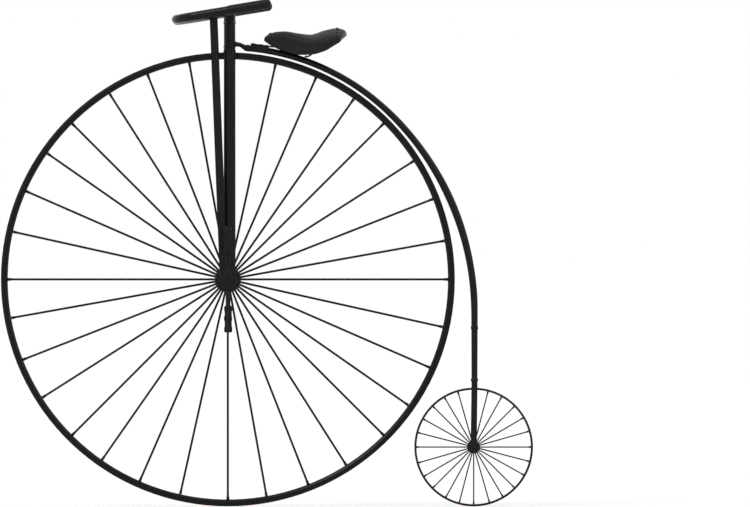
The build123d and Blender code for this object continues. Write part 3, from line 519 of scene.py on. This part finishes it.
for name, side in SIDES.items():
    # The left crank stands up and the right one hangs down.
    up = Z * -side
    eye = up * CRANK_THROW
    bm = bmesh.new()
    outline = crank_outline(boss=19.0, eye=13.0, throw=CRANK_THROW, waist=7.6)
    slab(bm, (0, 0, 0), Y * side, outline, CRANK_INNER, CRANK_OUTER, chamfer=1.8, up=up)
    bore = FRONT_AXLE + 0.1
    tube_lathe(bm, (0, 0, 0), Y * side, [
        (bore, CRANK_OUTER - 0.6), (16.6, CRANK_OUTER - 0.6), (16.6, CRANK_OUTER + 0.8),
        (15.8, CRANK_OUTER + 1.6), (11.2, CRANK_OUTER + 1.6), (bore, CRANK_OUTER + 0.9),
    ], 48)
    finish(bm, f"forged_crank_{name}", "front_wheel", "steel", STEEL, f"crank_{name}", smooth=50)

    # The cotter runs through the boss beside the axle, with its nut to the rear.
    bm = bmesh.new()
    cotter = up * 8.6 + Y * side * (CRANK_INNER + CRANK_OUTER) / 2
    dome(bm, cotter - X * 17.6, -X, radius=4.4, height=2.2)
    hex_nut(bm, cotter + X * 17.0, X, flats=9.5, height=4.2)
    threaded_end(bm, cotter + X * 21.6, X, radius=3.0, length=4.6, pitch=0.9)
    finish(bm, f"crank_cotter_{name}", "front_wheel", "steel", STEEL)

    bm = bmesh.new()
    lathe(bm, eye, Y * side, [
        (5.0, CRANK_INNER), (6.0, CRANK_INNER + 0.8), (6.0, CRANK_OUTER + 0.1),
        (9.2, CRANK_OUTER + 0.1), (9.5, CRANK_OUTER + 0.5), (9.5, CRANK_OUTER + 3.0),
        (8.2, CRANK_OUTER + 4.0), (8.2, CRANK_OUTER + 5.3), (6.0, CRANK_OUTER + 5.3),
        (6.0, PEDAL_OUTER + 0.5), (7.6, PEDAL_OUTER + 0.5), (8.0, PEDAL_OUTER + 0.9),
        (8.0, PEDAL_OUTER + 3.4), (6.6, PEDAL_OUTER + 4.5), (1.6, PEDAL_OUTER + 4.5),
    ], 40)
    finish(bm, f"pedal_pin_{name}", "front_wheel", "steel", STEEL, f"pedal_spindle_{name}")

    body = f"pedal_{name}"
    bm = bmesh.new()
    plate, plate_outline = 3.0, rounded_box(3.0, 34.0, radius=8.0, steps=6)
    for inner in (PEDAL_INNER, PEDAL_OUTER - plate):
        slab(bm, eye, Y * side, plate_outline, inner, inner + plate, chamfer=0.6, up=Z)
    lathe(bm, eye, Y * side, [
        (9.5, PEDAL_INNER + 2.5), (9.5, PEDAL_INNER + 12.0), (8.2, PEDAL_INNER + 17.0),
        (8.2, PEDAL_OUTER - 17.0), (9.5, PEDAL_OUTER - 12.0), (9.5, PEDAL_OUTER - 2.5),
    ], 40)
    for across in (-BLOCK_OFFSET, BLOCK_OFFSET):
        rod, nut = eye + Z * across, 2.6
        dome(bm, rod + Y * side * (PEDAL_INNER + 0.05), Y * -side, radius=5.0, height=1.6)
        hex_nut(bm, rod + Y * side * PEDAL_OUTER, Y * side, flats=9.0, height=nut)
        dome(bm, rod + Y * side * (PEDAL_OUTER + WASHER + nut - 0.1), Y * side, radius=2.6, height=1.0)
    finish(bm, f"pedal_frame_{name}", body, "steel", STEEL, f"pedal_cage_{name}")

    # The blocks' treads, each station with how far the rubber is cut in there.
    first, last, treads, deep = PEDAL_INNER + 4.2, PEDAL_OUTER - 4.2, 8, 1.7
    stations = [(first - 1.0, 1.4), (first, 0.0)]
    for k in range(1, treads):
        groove = first + (last - first) * k / treads
        stations += [(groove - 1.6, 0.0), (groove - 1.0, deep), (groove + 1.0, deep), (groove + 1.6, 0.0)]
    stations += [(last, 0.0), (last + 1.0, 1.4)]
    bm = bmesh.new()
    for across in (-BLOCK_OFFSET, BLOCK_OFFSET):
        place = frame_of(eye + Z * across, Y * side, Z)
        rings(bm, [
            [
                place @ Vector((x, y, along))
                for x, y in rounded_box(7.5 - cut * 0.4, 5.0 - cut * 0.4, 5.0 - cut * 0.6, steps=5)
            ] for along, cut in stations
        ])
    finish(bm, f"pedal_rubbers_{name}", body, "pedal_rubber", PEDAL, f"pedal_blocks_{name}")

# ---------------------------------------------------------------- fork
bm = bmesh.new()
bore, shell, groove = FRONT_AXLE + 0.1, 28.0, 27.2
for side in SIDES.values():
    tube_lathe(bm, (0, 0, 0), Y * side, [
        (bore, 48.0), (24.0, 48.0), (26.8, 48.6), (shell, 50.2), (shell, 54.0), (groove, 54.6),
        (groove, 56.0), (shell, 56.6), (shell, 64.6), (groove, 65.2), (groove, 66.6), (shell, 67.2),
        (shell, 71.0), (27.0, 72.0), (18.0, 72.0), (18.0, 78.0), (17.0, 79.0), (12.5, 79.0),
        (11.8, 78.3), (bore, 78.3),
    ], 72)
finish(bm, "bearing_housings", "fork", "enamel", ENAMEL, "axle_bearing_left", "axle_bearing_right")

bm = bmesh.new()
for side in SIDES.values():
    for turn in (radians(-90), radians(30), radians(150)):
        spot = (X * cos(turn) + Z * sin(turn)) * 22.6 + Y * side * 78.1
        screw(bm, spot, Y * side, radius=2.6, height=1.5)
    middle = Y * side * 60.5
    oiler(bm, middle - X * 26.6 + Z * 6.0, Vector((-1, 0, 0.35)), radius=3.4)
    for x in (-12.0, 12.0):
        hex_nut(bm, middle + X * x - Z * 25.2, Vector((x * 0.03, 0, -1)), flats=6.5, height=3.0)
finish(bm, "bearing_fittings", "fork", "steel", STEEL)

# A socket holds each blade under the crown. Each of its stations has its depth there and its wall.
bm = bmesh.new()
for side in SIDES.values():
    loops = []
    for depth, wall in ((20.2, 0.25), (18.7, 1.0), (10.7, 1.0), (9.7, 1.5), (0.1, 1.5)):
        y = side * (BLADE_Y + depth * BLADE_SPREAD / CROWN_BOTTOM)
        middle = Vector((STEER_X, y, CROWN_BOTTOM - depth))
        loops.append(oval(middle, X * (BLADE_LONG + wall), Y * (BLADE_WIDE + wall), 56))
    rings(bm, loops)
finish(bm, "crown_sockets", "fork", "enamel", ENAMEL)

bm = bmesh.new()
for side in SIDES.values():
    stud = Vector((STEER_X, side * 31.0, CROWN_TOP))
    hex_nut(bm, stud, Z, flats=11.0, height=4.6)
    dome(bm, stud + Z * 5.7, Z, radius=4.2, height=2.6)
finish(bm, "crown_nuts", "fork", "steel", STEEL)

# ---------------------------------------------------------------- steering head
bm = bmesh.new()
tube_lathe(bm, (STEER_X, 0, 0), Z, [
    (STEERER, SOCKET_BOTTOM), (SOCKET_RADIUS - 0.8, SOCKET_BOTTOM), (SOCKET_RADIUS, SOCKET_BOTTOM + 0.8),
    (SOCKET_RADIUS, SOCKET_TOP - 0.8), (SOCKET_RADIUS - 0.8, SOCKET_TOP), (STEERER, SOCKET_TOP),
], 56)
# The neck runs level behind the socket, then eases down onto the backbone's front end. It starts
# inside the socket's wall, and is stouter near it.
NECK_START_X, NECK_BENDS_X, NECK_STOUT = STEER_X + 13.0, 33.0, 15.0
NECK_WIDE, NECK_DEEP, NECK_STEPS = 11.0, 7.0, 24
neck_end = Vector((NECK_END_X, 0, sqrt(BACKBONE_RADIUS**2 - NECK_END_X**2)))
tilt = neck_end.x / neck_end.z
loops = []
for k in range(NECK_STEPS + 1):
    x = NECK_START_X + (NECK_END_X - NECK_START_X) * k / NECK_STEPS
    share = min(max((x - NECK_BENDS_X) / (NECK_END_X - NECK_BENDS_X), 0.0), 1.0)
    ease = share**2 * (3 - 2 * share)
    near = max(0.0, 1 - (x - NECK_START_X) / NECK_STOUT) ** 2
    middle = Vector((x, 0, NECK_Z + (neck_end.z - NECK_Z) * ease + 5.0 * near))
    half_y = NECK_WIDE + (BACKBONE_WIDE - NECK_WIDE) * ease + 4.0 * near
    half_z = NECK_DEEP + (BACKBONE_DEEP - NECK_DEEP) * ease + 5.0 * near
    loops.append(oval(middle, Y * half_y, Vector((tilt * ease, 0, 1)) * half_z, 40))
rings(bm, loops)
# The lip of the neck's socket, which the backbone is brazed into. It is thinner over the tyre.
down = Vector((1, 0, -tilt)).normalized()
over = Vector((tilt, 0, 1)).normalized()
LIP_SIDES, LIP_UNDER = 48, 0.3
loops = []
for along, wall in ((-2.4, 0.1), (-1.6, 1.0), (-0.6, 1.5), (6.8, 1.5), (7.6, 1.1), (8.0, 0.1)):
    middle, wide = neck_end + down * along, Y * (BACKBONE_WIDE + wall)
    above = oval(middle, wide, over * (BACKBONE_DEEP + wall), LIP_SIDES)
    below = oval(middle, wide, over * (BACKBONE_DEEP + min(wall, LIP_UNDER)), LIP_SIDES)
    loops.append(above[:LIP_SIDES // 2 + 1] + below[LIP_SIDES // 2 + 1:])
rings(bm, loops)
finish(bm, "head_forging", "frame", "enamel", ENAMEL, "steering_head")

bm = bmesh.new()
inner = SOCKET_RADIUS - 0.4
for low, high in ((SOCKET_BOTTOM + 0.3, SOCKET_BOTTOM + 5.5), (SOCKET_TOP - 6.0, SOCKET_TOP - 0.2)):
    tube_lathe(bm, (STEER_X, 0, 0), Z, [
        (inner, low), (18.9, low), (19.5, low + 0.7), (19.5, high - 0.7), (18.9, high), (inner, high),
    ], 56)
for z in (SOCKET_BOTTOM + 24.0, SOCKET_TOP - 20.0):
    oiler(bm, (STEER_X, -inner, z), -Y, radius=3.2)
finish(bm, "head_collars", "frame", "steel", STEEL)

# ---------------------------------------------------------------- handlebar
TILT_U = Vector((cos(BAR_TILT), 0, sin(BAR_TILT)))
TILT_N = Vector((-sin(BAR_TILT), 0, cos(BAR_TILT)))
BAR_ORIGIN = Vector((STEER_X, 0, BAR_HEIGHT))
# From its lug the bar turns ahead, runs out, bends round and comes back to grips that flare a little.
FIRST_TURN, FLARE = radians(68.0), radians(8.0)
FIRST_RADIUS, CENTRE_HALF = 45.0, 24.0
BAR_FORWARD, BEND_RADIUS, BAR_BACK = 168.0, 80.0, 122.0


def on_bar(u, v):
    """A place in the handlebar's own plane, u rearwards and v to the right."""
    return BAR_ORIGIN + TILT_U * u + Y * v


arc_u = -FIRST_RADIUS * (1 - cos(FIRST_TURN))
arc_v = CENTRE_HALF + FIRST_RADIUS * sin(FIRST_TURN)
bend_u = -BAR_FORWARD + BEND_RADIUS * (1 - cos(FIRST_TURN))
bend_v = arc_v + (arc_u - bend_u) / sin(FIRST_TURN) * cos(FIRST_TURN)
last_u = -BAR_FORWARD + BEND_RADIUS * (1 - sin(FLARE))
last_v = bend_v + BEND_RADIUS * (sin(FIRST_TURN) + cos(FLARE))
bar_end = (BAR_BACK, last_v + (BAR_BACK - last_u) / cos(FLARE) * sin(FLARE))
GRIP_LENGTH, GRIP_RADIUS = 118.0, 15.75
GRIP_PAST, GRIP_ROUND = 11.0, 14.0   # how far its end lies past the bar's, and how round it is
GRIP_GROOVE, GRIP_PITCH = 0.75, 6.2  # between its ribs

for name, side in SIDES.items():
    heading = TILT_U * cos(FLARE) + Y * side * sin(FLARE)
    end = on_bar(bar_end[0], side * bar_end[1])
    bm = bmesh.new()
    profile = [(14.1, -GRIP_LENGTH), (15.0, -GRIP_LENGTH), (GRIP_RADIUS, -GRIP_LENGTH + 1.2)]
    along = -GRIP_LENGTH + 5.0
    while along < -7.0:
        groove = GRIP_RADIUS - GRIP_GROOVE
        profile += [(GRIP_RADIUS, along), (groove, along + 0.7), (groove, along + 1.5),
                    (GRIP_RADIUS, along + 2.2)]
        along += GRIP_PITCH
    for k in range(11):
        turn = k * pi / 22
        profile.append((
            GRIP_RADIUS - GRIP_ROUND * (1 - cos(turn)), GRIP_PAST - GRIP_ROUND * (1 - sin(turn)),
        ))
    lathe(bm, end, heading, profile, 48)
    finish(bm, f"ribbed_grip_{name}", "fork", "grip", GRIP, f"grip_{name}")

    bm = bmesh.new()
    tube_lathe(bm, end, heading, [
        (14.0, -GRIP_LENGTH - 7.0), (14.9, -GRIP_LENGTH - 7.0), (15.4, -GRIP_LENGTH - 6.2),
        (15.4, -GRIP_LENGTH - 4.6), (14.9, -GRIP_LENGTH - 4.0), (15.4, -GRIP_LENGTH - 3.4),
        (15.7, -GRIP_LENGTH - 1.2), (15.2, -GRIP_LENGTH - 0.2), (14.0, -GRIP_LENGTH - 0.2),
    ], 48)
    dome(bm, end + heading * (GRIP_PAST - 1.0), heading, radius=3.6, height=1.7)
    # The stay's clip is pinched on the bar by two bolts ahead of it.
    run = (STAY_CLIP_Y - arc_v) / cos(FIRST_TURN)
    clip = on_bar(arc_u - run * sin(FIRST_TURN), side * STAY_CLIP_Y)
    along_bar = TILT_U * -sin(FIRST_TURN) + Y * side * cos(FIRST_TURN)
    ahead = along_bar.cross(TILT_N).normalized()
    if ahead.x > 0:
        ahead = -ahead
    for offset in (-7.5, 7.5):
        hex_nut(bm, clip + along_bar * offset + ahead * 15.9, ahead, flats=7.0, height=3.2)
    finish(bm, f"bar_fittings_{name}", "fork", "steel", STEEL)

bm = bmesh.new()
tube_lathe(bm, (STEER_X, 0, 0), Z, [
    (17.6, LUG_BOTTOM + 0.2), (18.6, LUG_BOTTOM + 0.2), (19.2, LUG_BOTTOM + 0.9),
    (19.2, LUG_BOTTOM + 3.6), (18.6, LUG_BOTTOM + 4.3), (17.6, LUG_BOTTOM + 4.3),
], 56)
for side in SIDES.values():
    hex_nut(bm, (STEER_X, side * 17.4, LUG_BOTTOM + 11.5), Y * side, flats=8.5, height=4.0)
for side in SIDES.values():
    tube_lathe(bm, BAR_ORIGIN, Y, [
        (16.3, side * 15.0), (17.4, side * 15.2), (17.6, side * 17.0), (17.4, side * 18.8),
        (16.3, side * 19.0),
    ], 56)
finish(bm, "lug_fittings", "fork", "steel", STEEL)

# ---------------------------------------------------------------- rear end
bm = bmesh.new()
barrel = 11.0
lathe(bm, REAR, Y, mirrored([
    (REAR_AXLE + 0.1, -14.75), (7.0, -14.75), (16.2, -14.75), (REAR_FLANGE, -14.1),
    (REAR_FLANGE, -11.9), (16.2, -11.25), (13.2, -11.0), (11.6, -9.0), (barrel, -6.5),
    (barrel, -3.0), (11.8, -2.4), (11.8, -0.8),
]), 56)
oiler(bm, REAR + Z * barrel, Z, radius=2.6)
finish(bm, "rear_hub_shell", "rear_wheel", "steel", STEEL, "rear_hub")

bm = bmesh.new()
spoke_collars(bm, REAR, REAR_TURNS, REAR_FLANGE, REAR_FLANGE_Y, foot=2.2, collar=3.0, length=4.0)
finish(bm, "rear_spoke_collars", "rear_wheel", "steel", STEEL)

bm = bmesh.new()
for side in SIDES.values():
    hex_nut(bm, REAR + Y * side * 25.6, Y * side, flats=19.0, height=6.6)
    threaded_end(bm, REAR + Y * side * 33.4, Y * side, REAR_AXLE, length=9.0, pitch=1.25)
finish(bm, "rear_axle_nuts", "frame", "steel", STEEL, "rear_axle_nut_left", "rear_axle_nut_right")

bm = bmesh.new()
lathe(bm, REAR, Y, mirrored([(REAR_AXLE, -34.0)]), 32)
for side in SIDES.values():
    tube_lathe(bm, REAR, Y * side, [
        (REAR_AXLE, 15.3), (9.6, 15.3), (11.0, 16.3), (11.0, 18.0), (9.4, 18.8), (9.4, 20.4),
        (REAR_AXLE, 20.4),
    ], 40)
finish(bm, "rear_cones", "frame", "steel", STEEL, "rear_axle")

bm = bmesh.new()
for side in SIDES.values():
    for z in (REAR_CROWN_BOTTOM + 4.2, REAR_CROWN_TOP - 4.2):
        dome(bm, (TAIL_X, side * 25.4, z), Y * side, radius=2.7, height=1.5)
tube_lathe(bm, (TAIL_X, 0, REAR_CROWN_TOP), Z, [
    (9.4, 0.1), (11.6, 0.1), (12.2, 0.8), (12.2, 5.0), (11.4, 5.8), (10.6, 9.0), (9.7, 9.6), (9.4, 9.6),
], 48)
finish(bm, "rear_crown_fittings", "frame", "enamel", ENAMEL)

# ---------------------------------------------------------------- mounting step
bm = bmesh.new()
step = Vector((TAIL_X, 0, STEP_Z))
lathe(bm, step, -Y, [
    (11.8, 8.6), (11.8, 11.6), (10.2, 13.4), (8.0, 15.0), (7.2, 22.0), (7.2, 50.0), (8.0, 58.0),
    (8.0, 64.0),
], 40)
teeth, root, crest = 18, 8.9, 10.0
outline = []
for k in range(teeth):
    for radius, share in ((root, 0.0), (root, 0.35), (crest, 0.5), (crest, 0.85)):
        turn = tau * (k + share) / teeth
        outline.append((radius * cos(turn), radius * sin(turn)))
for low, high in ((63.4, 66.0), (67.2, 68.5)):
    slab(bm, step, -Y, outline, low, high, chamfer=0.15)
lathe(bm, step, -Y, [(8.4, 65.0), (8.4, 68.0)], 36)
finish(bm, "toothed_step", "frame", "steel", STEEL, "mounting_step", smooth=30)

# ---------------------------------------------------------------- spring's fittings
bm = bmesh.new()
out = Vector((cos(PERCH_AT), 0, sin(PERCH_AT)))
along = Vector((sin(PERCH_AT), 0, -cos(PERCH_AT)))
for offset in (-20.0, 4.0, 22.0):
    screw(bm, out * (BACKBONE_TOP + 6.2) + along * offset, out, radius=4.4, height=1.4)
for side in SIDES.values():
    for offset in (-22.0, 0.0, 22.0):
        spot = out * (BACKBONE_TOP - 6.0) + along * offset + Y * side * 18.0
        screw(bm, spot, Y * side, radius=3.2, height=1.8)
clamp, clamp_half = Vector((CLAMP_X, 0, RAIL_Z)), 5.5
hex_nut(bm, clamp + Z * clamp_half, Z, flats=9.0, height=3.4)
for x in (-10.0, 10.0):
    for side in SIDES.values():
        screw(bm, clamp + Vector((x, side * 17.5, clamp_half)), Z, radius=2.8, height=1.6, up=X)
        hex_nut(bm, clamp + Vector((x, side * 18.0, -clamp_half)), -Z, flats=5.5, height=2.4)
for x, heading in zip(RAIL_ENDS, (-X, X)):
    for side in SIDES.values():
        hex_nut(bm, (x, side * 10.0, RAIL_Z), heading, flats=8.0, height=3.4)
finish(bm, "saddle_fittings", "frame", "steel", STEEL)

# ---------------------------------------------------------------- saddle
# Behind the seat point, half width, top, how far its arch drops, skirt's bottom, skirt's flare.
SECTIONS = (
    (-144.4, 3.6, -13.6, 2.0, -19.8, 0.0),
    (-143.5, 7.2, -10.4, 3.2, -20.9, 0.0),
    (-141.0, 11.2, -6.9, 4.6, -23.0, 0.0),
    (-136.0, 15.6, -2.8, 6.2, -27.2, 0.3),
    (-126.0, 20.0, 3.1, 9.0, -33.8, 1.0),
    (-106.0, 23.8, 8.4, 10.8, -44.0, 2.0),
    (-82.0, 27.0, 10.0, 12.0, -54.0, 3.0),
    (-34.0, 45.0, 3.4, 17.0, -63.9, 6.0),
    (0.0, 66.0, 0.0, 21.0, -62.9, 5.0),
    (46.0, 92.0, 13.6, 28.0, -50.9, 2.0),
    (84.0, 96.0, 20.4, 30.0, -29.4, 0.0),
    (104.0, 92.0, 15.8, 26.0, -22.0, 0.0),
    (110.0, 89.0, 11.6, 23.0, -20.6, 0.0),
    (113.4, 86.5, 7.0, 20.0, -19.8, 0.0),
    (114.5, 84.0, 1.6, 17.5, -19.4, 0.0),
    (114.6, 83.0, -4.4, 14.6, -19.2, 0.0),
)
PLACES = [section[0] for section in SECTIONS]
TIP_BEHIND, TIP_Z = -144.5, -19.4
SKIRT_STEPS, ARCH_STEPS = 12, 22
SMOOTHING = 5                # how often a row's corners are rounded off
SQUARE_TO, BOW = 84.0, 18.0  # behind here the rows bow, so that the back is round from above
STATION = 4.5                # about how far apart the rows are
HIDE, HIDE_AT_TIP = 4.4, 0.8  # how thick the leather is
NOSE_RIVETS = (-126.0, (0.12, 0.3, 0.5, 0.7, 0.88))
CANTLE_RIVETS = (84.0, (0.276, 0.34, 0.404, 0.468, 0.532, 0.596, 0.66, 0.724))
STITCHES_FROM, STITCHES_TO = -118.0, 98.0
STITCH_PITCH, STITCH_LENGTH = 4.9, 3.6
STITCH_FROM_EDGE, LEAST_SKIRT = 5.6, 9.0


def cubic(values, places, place):
    """A smooth value between the sections, by a monotone cubic."""
    i = max(k for k in range(len(places) - 1) if places[k] <= place or k == 0)
    runs = [b - a for a, b in zip(places, places[1:])]
    rises = [(b - a) / run for a, b, run in zip(values, values[1:], runs)]

    def slope(k):
        if k == 0 or k == len(places) - 1:
            return rises[0 if k == 0 else -1]
        first, second = rises[k - 1], rises[k]
        if first * second <= 0:
            return 0.0
        w1, w2 = 2 * runs[k] + runs[k - 1], runs[k] + 2 * runs[k - 1]
        return (w1 + w2) / (w1 / first + w2 / second)

    share = (place - places[i]) / runs[i]
    s2, s3 = share**2, share**3
    return (
        values[i] * (2 * s3 - 3 * s2 + 1) + runs[i] * slope(i) * (s3 - 2 * s2 + share)
        + values[i + 1] * (3 * s2 - 2 * s3) + runs[i] * slope(i + 1) * (s3 - s2)
    )


def saddle_row(behind):
    """The leather's outer face across the saddle, from its left edge to its right one."""
    half, top, drop, bottom, flare = (
        cubic([section[k] for section in SECTIONS], PLACES, behind) for k in range(1, 6)
    )
    edge = top - drop
    points = []
    for k in range(SKIRT_STEPS):
        share = k / SKIRT_STEPS
        points.append((-half - flare * (1 - share), bottom + (edge - bottom) * share))
    for k in range(ARCH_STEPS + 1):
        across = -half + 2 * half * k / ARCH_STEPS
        points.append((across, edge + drop * (1 - (across / half) ** 2)))
    points += [(-y, z) for y, z in points[SKIRT_STEPS - 1::-1]]
    for _ in range(SMOOTHING):
        smooth = points[:1]
        for a, b, c in zip(points, points[1:], points[2:]):
            smooth.append(((a[0] + 2 * b[0] + c[0]) / 4, (a[1] + 2 * b[1] + c[1]) / 4))
        points = smooth + points[-1:]
    bow = BOW * max(0.0, (behind - SQUARE_TO) / (PLACES[-1] - SQUARE_TO)) ** 1.5
    return [Vector((behind - bow * min(1.0, abs(y) / half) ** 2, y, z)) for y, z in points]


def saddle_at(behind, share):
    """A place on the leather's outer face, share of the way across, and the way out there."""
    def at(b, s):
        row = saddle_row(b)
        k = min(int(s * (len(row) - 1)), len(row) - 2)
        return SEAT + row[k].lerp(row[k + 1], s * (len(row) - 1) - k)
    here = at(behind, share)
    along = at(behind + 1, share) - at(behind - 1, share)
    across = at(behind, min(share + 0.01, 1)) - at(behind, max(share - 0.01, 0))
    return here, across.cross(along).normalized() * -1


stations = []
for low, high in zip(PLACES, PLACES[1:]):
    count = max(2, round((high - low) / STATION))
    stations += [low + (high - low) * k / count for k in range(count)]
stations.append(PLACES[-1])
bm = bmesh.new()
edge_layer = bm.verts.layers.float.new("from_edge")
tip = bm.verts.new(SEAT + Vector((TIP_BEHIND, 0.0, TIP_Z)))
depth = {tip: HIDE_AT_TIP}   # how far the inner face lies in, less where the nose is slim
grid = []
for behind in stations:
    row = saddle_row(behind)
    length = [0.0]
    for a, b in zip(row, row[1:]):
        length.append(length[-1] + (b - a).length)
    made = []
    for place, run in zip(row, length):
        vertex = bm.verts.new(SEAT + place)
        vertex[edge_layer] = min(run, length[-1] - run, PLACES[-1] - behind) * MM
        depth[vertex] = min(HIDE, HIDE_AT_TIP + 0.3 * row[-1].y)
        made.append(vertex)
    grid.append(made)
for b, c in zip(grid[0], grid[0][1:]):
    bm.faces.new((tip, b, c))
for low, high in zip(grid, grid[1:]):
    for a, b, c, d in zip(low, low[1:], high[1:], high):
        bm.faces.new((a, b, c, d))
bm.normal_update()
crest = grid[len(grid) // 2][SKIRT_STEPS + ARCH_STEPS // 2]
if crest.normal.z < 0:
    bmesh.ops.reverse_faces(bm, faces=bm.faces[:])
    bm.normal_update()
outer = bm.faces[:]
under = {}
for vertex in bm.verts[:]:
    copy = bm.verts.new(vertex.co - vertex.normal * depth[vertex])
    copy[edge_layer] = vertex[edge_layer]
    under[vertex] = copy
for face in outer:
    bm.faces.new([under[v] for v in reversed(face.verts)])
for edge in [e for e in bm.edges if e.is_boundary and e.verts[0] in under and e.verts[1] in under]:
    a, b = (loop.vert for loop in edge.link_faces[0].loops if loop.vert in edge.verts)
    bm.faces.new((a, b, under[b], under[a]))
saddle = finish(bm, "saddle_hide", "frame", "leather", LEATHER, "saddle_leather", smooth=180)
rounded = saddle.modifiers.new("rounded", "SUBSURF")
rounded.levels = rounded.render_levels = 1

bm = bmesh.new()
for behind, shares in (NOSE_RIVETS, CANTLE_RIVETS):
    for share in shares:
        spot, out = saddle_at(behind, share)
        lathe(bm, spot - out * 0.5, out, [(5.2, 0), (5.2, 0.8), (4.8, 1.0)], 22)
        dome(bm, spot + out * 0.4, out, radius=4.1, height=2.0)
finish(bm, "saddle_rivets", "frame", "steel", STEEL)

bm = bmesh.new()
for on_right in (False, True):
    run = STITCHES_FROM
    while run < STITCHES_TO:
        row = saddle_row(run)
        skirt = (row[0] - row[SKIRT_STEPS]).length
        if skirt > LEAST_SKIRT:
            share = STITCH_FROM_EDGE / skirt * SKIRT_STEPS / (len(row) - 1)
            share = 1 - share if on_right else share
            first, out = saddle_at(run, share)
            heading = saddle_at(run + STITCH_LENGTH, share)[0] - first
            lathe(bm, first + out * 0.15, heading, [
                (0.2, 0), (0.5, 0.35), (0.62, heading.length / 2), (0.5, heading.length - 0.35),
                (0.2, heading.length),
            ], 8)
        run += STITCH_PITCH
finish(bm, "saddle_stitches", "frame", "leather", LEATHER)

# ---------------------------------------------------------------- floor, light and camera
PALE = 0.92
SKY_LIGHT = 0.5              # what the sky adds to a surface; the camera sees it as white
FLOOR_LIFT = 0.28            # brings the lit floor up to the sky's white for the camera
FLOOR_HALF = 900.0           # in metres, so that its edge lies on the horizon

floor_z = HUB.z - FRONT_RADIUS * MM
mesh = bpy.data.meshes.new("floor")
corners = [(x * FLOOR_HALF, y * FLOOR_HALF, floor_z) for x, y in ((-1, -1), (1, -1), (1, 1), (-1, 1))]
mesh.from_pydata(corners, [], [(0, 1, 2, 3)])
floor = bpy.data.objects.new("floor", mesh)
bpy.context.scene.collection.objects.link(floor)
pale = Nodes("pale_floor")
rays = pale.add("ShaderNodeLightPath").outputs
seen = pale.math("MAXIMUM", rays["Is Camera Ray"], rays["Is Glossy Ray"])
pale.shade(
    base_color=(PALE, PALE, PALE, 1.0), roughness=0.9, specular_ior_level=0.0,
    emission_color=(1.0, 1.0, 1.0, 1.0), emission_strength=pale.math("MULTIPLY", seen, FLOOR_LIFT),
)
floor.data.materials.append(pale.material)

world = bpy.data.worlds.new("studio")
bpy.context.scene.world = world
world.use_nodes = True
tree = world.node_tree
background = tree.nodes["Background"]
path = tree.nodes.new("ShaderNodeLightPath")
seen = tree.nodes.new("ShaderNodeMath")
seen.operation = "MAXIMUM"
tree.links.new(path.outputs["Is Camera Ray"], seen.inputs[0])
tree.links.new(path.outputs["Is Glossy Ray"], seen.inputs[1])
level = tree.nodes.new("ShaderNodeMapRange")
level.inputs["To Min"].default_value = SKY_LIGHT
level.inputs["To Max"].default_value = 1.0
tree.links.new(seen.outputs[0], level.inputs["Value"])
background.inputs["Color"].default_value = (1.0, 1.0, 1.0, 1.0)
tree.links.new(level.outputs["Result"], background.inputs["Strength"])


def soft_sun(name, travels, strength, width):
    """A distant lamp, which lights the whole floor evenly. Its width is in degrees."""
    data = bpy.data.lights.new(name, "SUN")
    data.energy, data.angle = strength, radians(width)
    lamp = bpy.data.objects.new(name, data)
    lamp.rotation_euler = Vector(travels).to_track_quat("-Z", "Y").to_euler()
    bpy.context.scene.collection.objects.link(lamp)


soft_sun("key", travels=(0.62, 0.66, -0.9), strength=1.15, width=26.0)
soft_sun("fill", travels=(-0.8, 0.5, -0.55), strength=0.35, width=40.0)

# The side view of the photograph, 750 by 507, from so far away that it is nearly flat.
WIDTH_PX, HEIGHT_PX = 750, 507
HUB_PX = (227.87, 279.37)
MM_PER_PX = 3.1326
LENS, SENSOR = 1000.0, 36.0
data = bpy.data.cameras.new("camera")
data.lens, data.sensor_width = LENS, SENSOR
camera = bpy.data.objects.new("camera", data)
distance = WIDTH_PX * MM_PER_PX * MM * LENS / SENSOR
middle_x = (WIDTH_PX / 2 - HUB_PX[0]) * MM_PER_PX * MM
middle_z = (HUB_PX[1] - HEIGHT_PX / 2) * MM_PER_PX * MM
camera.location = HUB + Vector((middle_x, -distance, middle_z))
camera.rotation_euler = (pi / 2, 0, 0)
data.clip_start, data.clip_end = 1.0, 1000.0
bpy.context.scene.collection.objects.link(camera)
bpy.context.scene.camera = camera
bpy.context.scene.view_settings.view_transform = "Standard"
